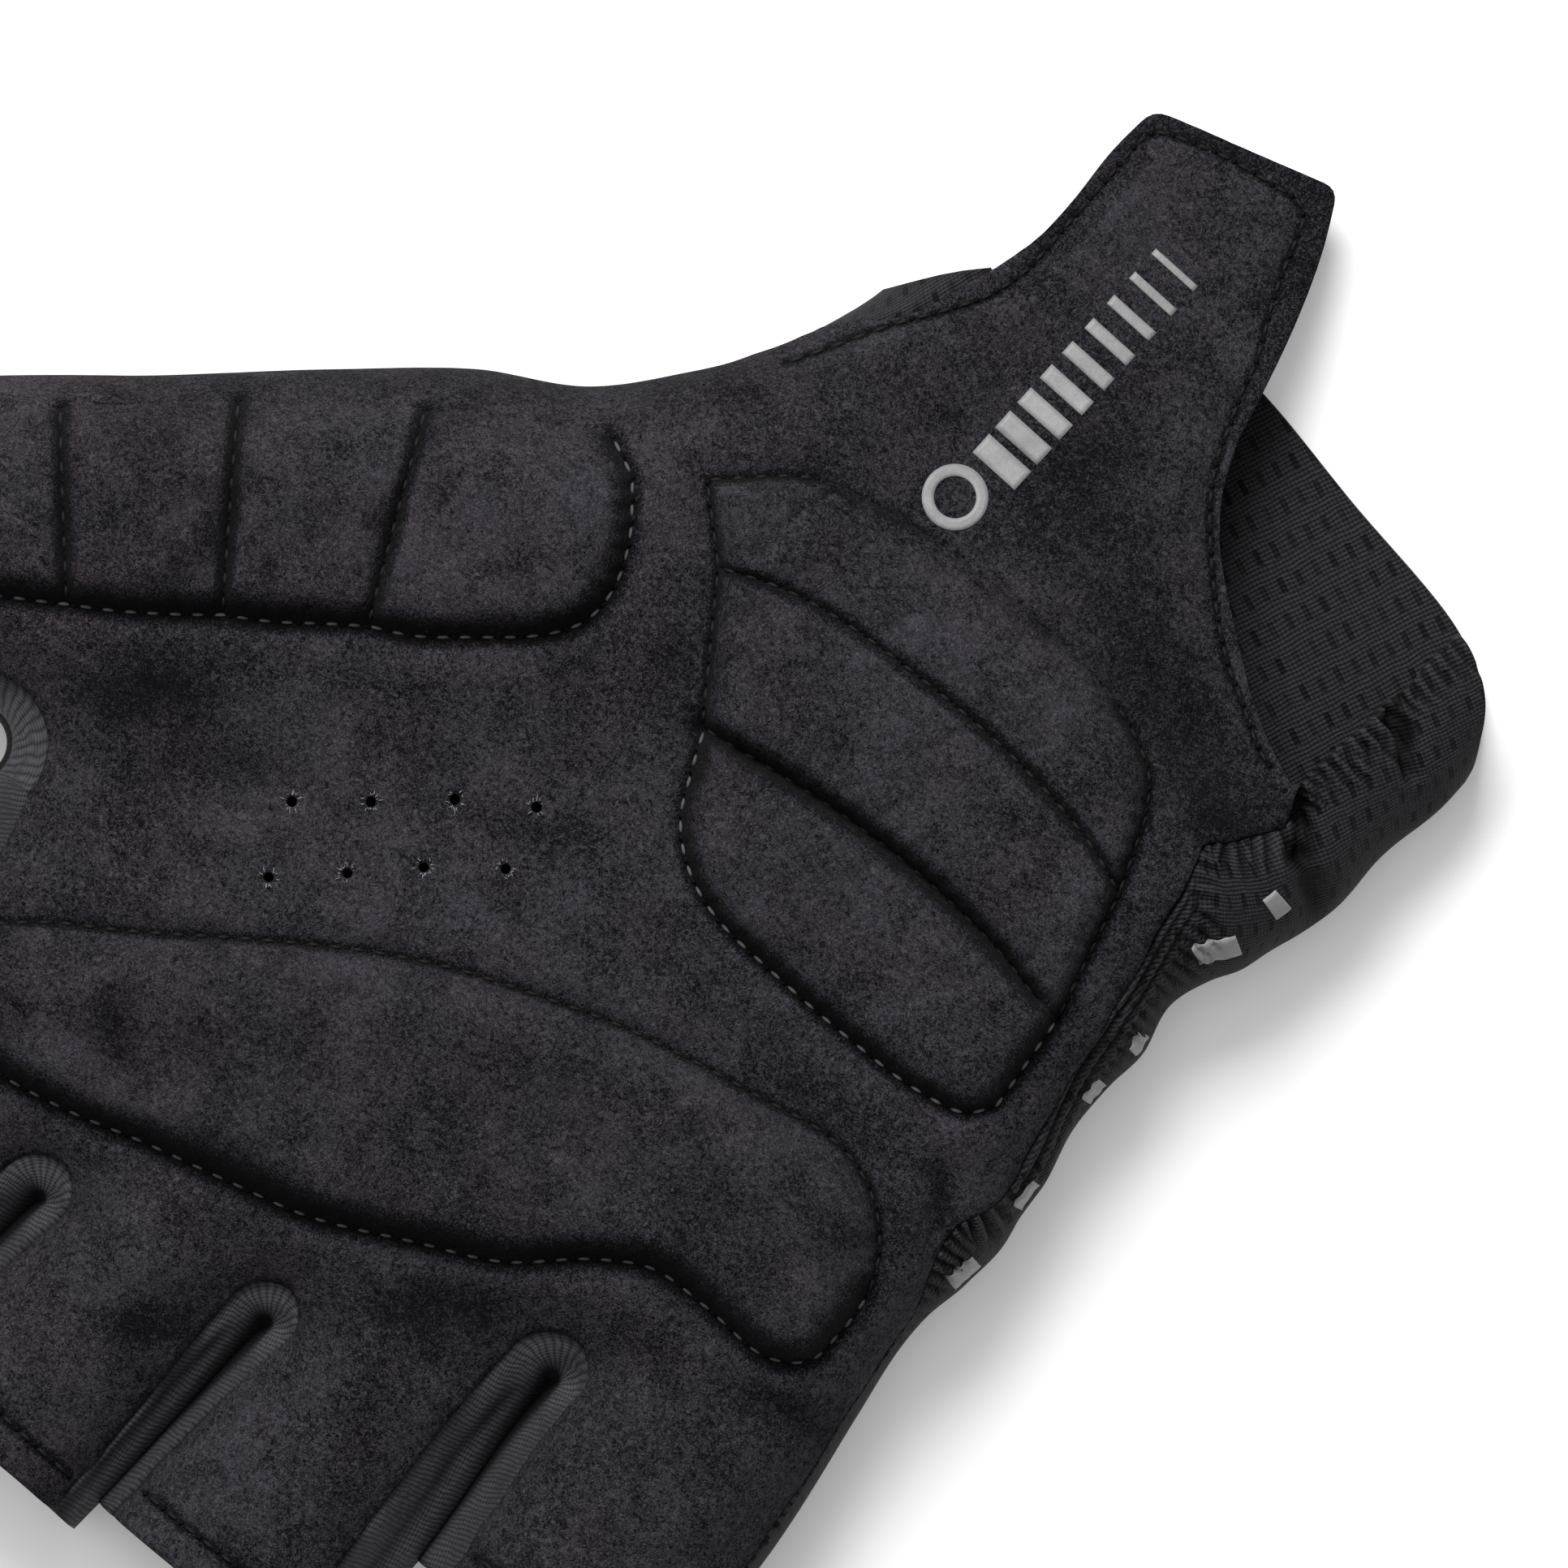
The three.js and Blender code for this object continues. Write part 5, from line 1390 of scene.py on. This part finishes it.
def knit_relief(points):
    """Gathers and pleats of the knit on the little-finger side, and their painted fold shading: painted shade
    in the valleys and creases, lighter on the ridges.
    """
    xy = points[:, :2]
    distance, along = nearest_on(xy, ulnar_line)
    from_seam, seam_along = nearest_on(xy, ulnar_seam)
    above = np.clip((points[:, 2] - 5) / 4, 0, 1)
    pleated = np.interp(xy[:, 1], (-27, -23, 7, 12), (0, 1, 1, 0))
    pleats = gathers(from_seam / 1.05 + 0.15 * np.sin(seam_along / 4), 1.5)
    beside = hump(from_seam, 2.8, 4) * pleated
    lift = (0.2 - 0.7 * pleats) * beside
    # Painted shade in the pleats' valleys with lighter ridges, and the same below for the gathers and creases
    folded = (1.5 * pleats - 0.5) * beside
    turns = seam_along / 1.4 + 0.14 * np.sin(seam_along / 2.7) + 0.1 * np.sin(from_seam + seam_along / 3.9)
    valleys = gathers(turns, 1.6)
    reach = 3.6 + 0.8 * np.sin(seam_along / 2.3) + 0.6 * np.sin(seam_along / 1.1)
    out = np.maximum(from_seam - 2.4 * pleated, 0)
    turned = np.clip(distance / 1.6, 0, 1)
    gathered = hump(out, reach, 4) * (1 - beside) * np.interp(xy[:, 1], (24, 30), (1, 0.2)) * turned
    lift += (0.2 - 0.9 * valleys) * gathered
    folded += (1.6 * valleys - 0.6) * gathered
    lift += 0.3 * waves(np.stack([along, distance], -1), 9, 11) * np.exp(-distance / 8)
    beside_cuff, cuff_along = nearest_on(xy, CUFF_GATHERS)
    turns = cuff_along / 1.5 + 0.2 * np.sin(cuff_along / 2.1) + 0.15 * np.sin(beside_cuff * 1.3)
    valleys = gathers(turns, 1.4)
    gathered = hump(beside_cuff, 2.6, 4) * turned
    lift += (0.2 - 0.95 * valleys) * gathered
    folded += (1.6 * valleys - 0.6) * gathered
    for line, depth, half in KNIT_FOLDS:
        apart, _ = nearest_on(xy, line)
        crease = hump(apart, half)
        lift -= depth * np.clip(distance / 2.5, 0, 1) * (crease - 0.3 * hump(apart - 2.4 * half, 1.2 * half))
        folded += crease * min(depth, 1)
    return above * lift, np.clip(above * folded, -0.6, 1)


def fourchette_lift(slit, sides, way, along, number):
    """Long folds of the jersey and how far its walls lean together, and its painted fold shading: painted
    shade in the hollows, deep in the V where the walls close and on the far side, lighter on the broad fold.
    """
    left, right = sides
    opening = 0
    if slit.name != "thumb_web":
        gap = nearest_on(left.place, right.place)[0] / 2
        opening = np.interp(np.abs(along), left.along, np.clip(gap, slit.radius, 2.4)) + 0.15
    closing = hump(way - 1.2, 3.5)
    thumb_side = np.clip(along / 4 + 0.5, 0, 1)
    roll = way + 0.12 * np.abs(along) - 6.4 + 0.9 * (1 - thumb_side)
    broad = hump(roll, 1.1 + 1.1 * thumb_side)
    hollow = hump(roll + 3.3 - (1 - thumb_side), 1.1)
    second = hump(way - 6.6 + 0.06 * along, 0.9) * np.clip((along - 5) / 4, 0, 1)
    ripple = 0.12 * np.sin(along / 1.3 + way * 0.9 + number) + 0.2 * np.sin(along / 3.1 + number)
    fold = (0.75 * broad - 0.8 * hollow - 0.9 * second + ripple) * (0.5 + 0.5 * hump(along, 15)) - 0.2
    edge = np.clip((way.max() - way) / 1.6, 0, 1) * np.clip((way - way.min()) / 1.6, 0, 1)
    lift = edge * (opening * closing + fold * (1 - closing)) - 0.6 * (1 - edge)
    # Painted shade in the hollow, deep in the V, in the second fold and on the far side; lighter on the broad
    # fold
    deep = np.clip((3 - 0.6 * thumb_side - way) / 2.2, 0, 1)
    shaded = np.clip((-along - 2.5) / 5, 0, 1)
    folded = 0.85 * hollow + 0.9 * deep + 0.7 * second + 0.45 * shaded - 0.35 * broad
    return lift, np.clip(folded, -0.3, 1)


class GLOVE_OT_fourchettes(bpy.types.Operator):
    """Makes the jersey strips between the fingers and beside the thumb"""
    bl_idname = "glove.fourchettes"
    bl_label = "Fourchettes"

    def execute(self, context):
        for number, (slit, (left, right)) in enumerate(zip(SLITS, slit_sides)):
            turned = Stations(*(column[::-1] for column in left))._replace(along=-left.along[::-1])
            stations = joined(turned, right, 1)
            low = seam_way(stations) - HALF_GAP
            high = np.full(len(low), HALF_GAP - UNDER_FINGER_SEAM)
            grid, places = roll_grid(stations, FOURCHETTE_COLUMNS, low, high)
            points, faces, cloth, normals = weld([grid_patch(grid, places)])
            inner = points - normals * context.scene.glove_sizes.jersey_thickness
            where = np.zeros((len(points), 2))
            where[faces.ravel()] = cloth.reshape(-1, 2)
            way, along = where.T
            lift, folded = fourchette_lift(slit, (left, right), way, along, number)
            points = points + normals * lift[:, None]
            inner = inner + normals * lift[:, None]
            # The jersey's mask of painted fold shading
            mesh = shell_mesh(f"{slit.name}_jersey", points, faces, cloth, inner, {"folded": folded}, 0.12)
            place_piece(mesh, "stretch jersey", [slit.name])
        return {"FINISHED"}


class GLOVE_OT_stitching(bpy.types.Operator):
    """Sews the stitched lines with short lengths of thread"""
    bl_idname = "glove.stitching"
    bl_label = "Stitching"

    def execute(self, context):
        for seam in SEAMS:
            count = stitch_count(seam)
            shares = (np.arange(count)[:, None] + np.linspace(*STITCH_SHOWN, len(STITCH_RISE))) / count
            points = sewn_points(seam, shares.ravel()).reshape(count, -1, 3)
            points[..., 2] += STITCH_RISE
            mesh = tubes_mesh(f"{seam.name}_thread", points, [STITCH_RADII] * count)
            place_piece(mesh, seam.thread)
        return {"FINISHED"}


class GLOVE_OT_needle_holes(bpy.types.Operator):
    """Marks the needle's hole at each end of every stitch with a near-black sunk tube, painted shade in the
    hole
    """
    bl_idname = "glove.needle_holes"
    bl_label = "Needle Holes"

    def execute(self, context):
        paths = []
        for seam in SEAMS:
            count = stitch_count(seam)
            points = sewn_points(seam, np.arange(count + 1) / count)
            paths += [(point - (0, 0, NEEDLE_DEPTH), point) for point in points]
        mesh = tubes_mesh("needle_holes", paths, [NEEDLE_RADII] * len(paths), 8)
        place_piece(mesh, "needle hole")
        return {"FINISHED"}


class GLOVE_OT_fibres(bpy.types.Operator):
    """Frays the edges of the vent holes with short pale fibres"""
    bl_idname = "glove.fibres"
    bl_label = "Vent Fibres"

    def execute(self, context):
        draw = np.random.default_rng(17)
        t = np.linspace(0, 1, len(FIBRE_RADII))[:, None]
        paths = []
        for vent in VENTS:
            for _ in range(context.scene.glove_sizes.fibres):
                angle = draw.uniform(0, 2 * math.pi)
                out = np.array((math.cos(angle), math.sin(angle)))
                start = vent + out * draw.uniform(0.55, 0.8)
                lean = np.array((math.cos(angle + draw.normal(0, 1)), math.sin(angle + draw.normal(0, 1))))
                reach = draw.uniform(0.2, 0.6)
                xy = start + out * t * reach * 0.5 + lean * t * t * reach * 0.6
                path = on_suede(xy, 0.04 + 0.35 * draw.uniform(0.3, 1) * np.sin(t[:, 0] * 2.6))
                path[0, 2] -= 0.3
                paths.append(path)
        mesh = tubes_mesh("vent_fibres", paths, [FIBRE_RADII] * len(paths), 5)
        place_piece(mesh, "frayed fibre")
        return {"FINISHED"}


# Plain bars on the tab: how many, the place of the first one along the tab and the way to the next, the ends
# of each one, and half the width of the first with what every next one gains
BARS = 9
BAR_START = -69.2
BAR_PITCH = 3.2
BAR_ENDS = (0.4, 6)
BAR_HALF = 0.35
BAR_GAIN = 0.11
# Plain ring on the tab: its middle and its two radii
RING_MIDDLE = (4.3, -37.9)
RING_RADII = (2.1, 3.3)
# Plain dashes on the knitted side: y, the ways round the roll that each one lies between, and half its length
DASHES = (
    (-20.9, 6.4, 9.6, 1.8), (-28.6, 8.6, 11.8, 1.1), (-10, 3.4, 6.2, 1.2), (-3.5, 2.6, 5.4, 1.2),
    (8.5, 2.6, 5.4, 1.5), (18.6, 3.4, 6.8, 1.7),
)
# How far the print stands over the suede and over the knit, and its thickness
SUEDE_PRINT_LIFT = 0.09
KNIT_PRINT_LIFT = 0.14
PRINT_THICKNESS = 0.1


def bar(number):
    """A plain bar across the tab."""
    y = BAR_START + number * BAR_PITCH
    half = BAR_HALF + BAR_GAIN * number
    ends = np.linspace(*BAR_ENDS, 12), np.linspace(y - half, y + half, 5)
    return grid_patch(on_suede(np.stack(np.meshgrid(*ends, indexing="ij"), -1), SUEDE_PRINT_LIFT))


def ring():
    """The plain ring above the bars."""
    around, out = np.meshgrid(np.linspace(0, 2 * math.pi, 49), np.linspace(*RING_RADII, 4), indexing="ij")
    way = np.stack([np.cos(around), np.sin(around)], -1)
    return grid_patch(on_suede(RING_MIDDLE + out[..., None] * way, SUEDE_PRINT_LIFT))


def dash(y, low, high, half):
    """A plain dash on the knitted roll, between two distances round it from the outline."""
    shares = share_at_y(ulnar_line, np.linspace(y - half, y + half, 12))
    stations = stations_on(ulnar_line, shares, -1)
    points = roll_points(stations, np.tile(np.linspace(low, high, 6), (12, 1)))
    lift = knit_relief(points.reshape(-1, 3))[0].reshape(12, 6, 1) + KNIT_PRINT_LIFT
    outward = np.concatenate([-stations.inward, np.ones((12, 1))], 1)[:, None]
    return grid_patch(points + outward / np.linalg.norm(outward, axis=2, keepdims=True) * lift)


class GLOVE_OT_prints(bpy.types.Operator):
    """Prints plain bars and a ring on the tab, and plain dashes on the knitted side"""
    bl_idname = "glove.prints"
    bl_label = "Plain Prints"

    def execute(self, context):
        tab = [*(bar(number) for number in range(BARS)), ring()]
        side = [dash(*row) for row in DASHES]
        for name, patches, slot in (("tab_print", tab, "tab_suede"), ("side_print", side, "knit")):
            points, faces, cloth, normals = weld(patches)
            mesh = shell_mesh(name, points, faces, cloth, points - normals * PRINT_THICKNESS, {})
            place_piece(mesh, "plain print")
        return {"FINISHED"}


# Half the floor's side, in metres, and the soft lights: name, how far they stand towards the photo's top and
# right, their height, size and watts
FLOOR_HALF = 1.6
LIGHTS = (
    ("key", 0.67, -0.1, 0.83, 0.5, 13.4), ("left", 0.3, -0.8, 0.7, 0.6, 2), ("top", 0.1, 0, 1.4, 0.9, 4.5),
)
SENSOR = 36


class GLOVE_OT_stage(bpy.types.Operator):
    """Lays the pale floor and sets the camera and the soft lights"""
    bl_idname = "glove.stage"
    bl_label = "Stage"

    def execute(self, context):
        scene = context.scene
        mesh = bpy.data.meshes.new("floor")
        corners = [(x * FLOOR_HALF, y * FLOOR_HALF, 0) for x, y in ((-1, -1), (1, -1), (1, 1), (-1, 1))]
        mesh.from_pydata(corners, [], [(0, 1, 2, 3)])
        floor = put_in_scene("floor", mesh)
        floor.location.z = -0.0002
        _, shader = new_material("pale floor", 0.9)
        shader.inputs["Base Color"].default_value = (0.86, 0.86, 0.86, 1)
        shader.inputs["Emission Color"].default_value = (1, 1, 1, 1)
        shader.inputs["Emission Strength"].default_value = 0.18
        mesh.materials.append(bpy.data.materials["pale floor"])
        up = np.array(PHOTO_UP)
        right = np.array((up[1], -up[0]))
        camera_data = bpy.data.cameras.new("camera")
        camera_data.sensor_width = SENSOR
        camera_data.lens = SENSOR * (CAMERA_HEIGHT - PALM_TOP) / PHOTO_WIDTH
        camera_data.clip_end = 20
        camera = put_in_scene("camera", camera_data)
        middle = to_row((*PHOTO_MIDDLE, CAMERA_HEIGHT))
        rows = [(right[i], up[i], 0, middle[i]) for i in (0, 1)]
        camera.matrix_world = Matrix((*rows, (0, 0, 1, middle[2]), (0, 0, 0, 1)))
        scene.camera = camera
        for name, to_top, to_right, height, size, watts in LIGHTS:
            data = bpy.data.lights.new(name, "AREA")
            data.size = size
            data.energy = watts
            light = put_in_scene(name, data)
            light.location = (*(up * to_top + right * to_right), height)
            light.rotation_euler = (-Vector(light.location)).to_track_quat("-Z", "Y").to_euler()
        world = bpy.data.worlds.new("studio")
        world.use_nodes = True
        background = world.node_tree.nodes["Background"].inputs
        background["Color"].default_value = (1, 1, 1, 1)
        background["Strength"].default_value = 0.22
        scene.world = world
        scene.view_settings.view_transform = "Standard"
        return {"FINISHED"}


PIECES = (
    GLOVE_OT_materials, GLOVE_OT_palm, GLOVE_OT_pads, GLOVE_OT_tab_backing, GLOVE_OT_back,
    GLOVE_OT_fourchettes, GLOVE_OT_stitching, GLOVE_OT_needle_holes, GLOVE_OT_fibres, GLOVE_OT_prints,
    GLOVE_OT_stage,
)


class GLOVE_PT_sidebar(bpy.types.Panel):
    """The glove's settings and pieces"""
    bl_idname = "GLOVE_PT_sidebar"
    bl_label = "Cycling Glove"
    bl_space_type = "VIEW_3D"
    bl_region_type = "UI"
    bl_category = "Glove"

    def draw(self, context):
        for group in (context.scene.glove_sizes, context.scene.glove_colours):
            for name in group.__annotations__:
                self.layout.prop(group, name)
        for operator in PIECES:
            self.layout.operator(operator.bl_idname)


CLASSES = (GloveSizes, GloveColours, *PIECES, GLOVE_PT_sidebar)


def register():
    for cls in CLASSES:
        bpy.utils.register_class(cls)
    bpy.types.Scene.glove_sizes = PointerProperty(type=GloveSizes)
    bpy.types.Scene.glove_colours = PointerProperty(type=GloveColours)


def unregister():
    del bpy.types.Scene.glove_colours
    del bpy.types.Scene.glove_sizes
    for cls in reversed(CLASSES):
        bpy.utils.unregister_class(cls)


def main():
    register()
    for operator in PIECES:
        getattr(bpy.ops.glove, operator.bl_idname.split(".")[1])()


if __name__ == "__main__":
    main()
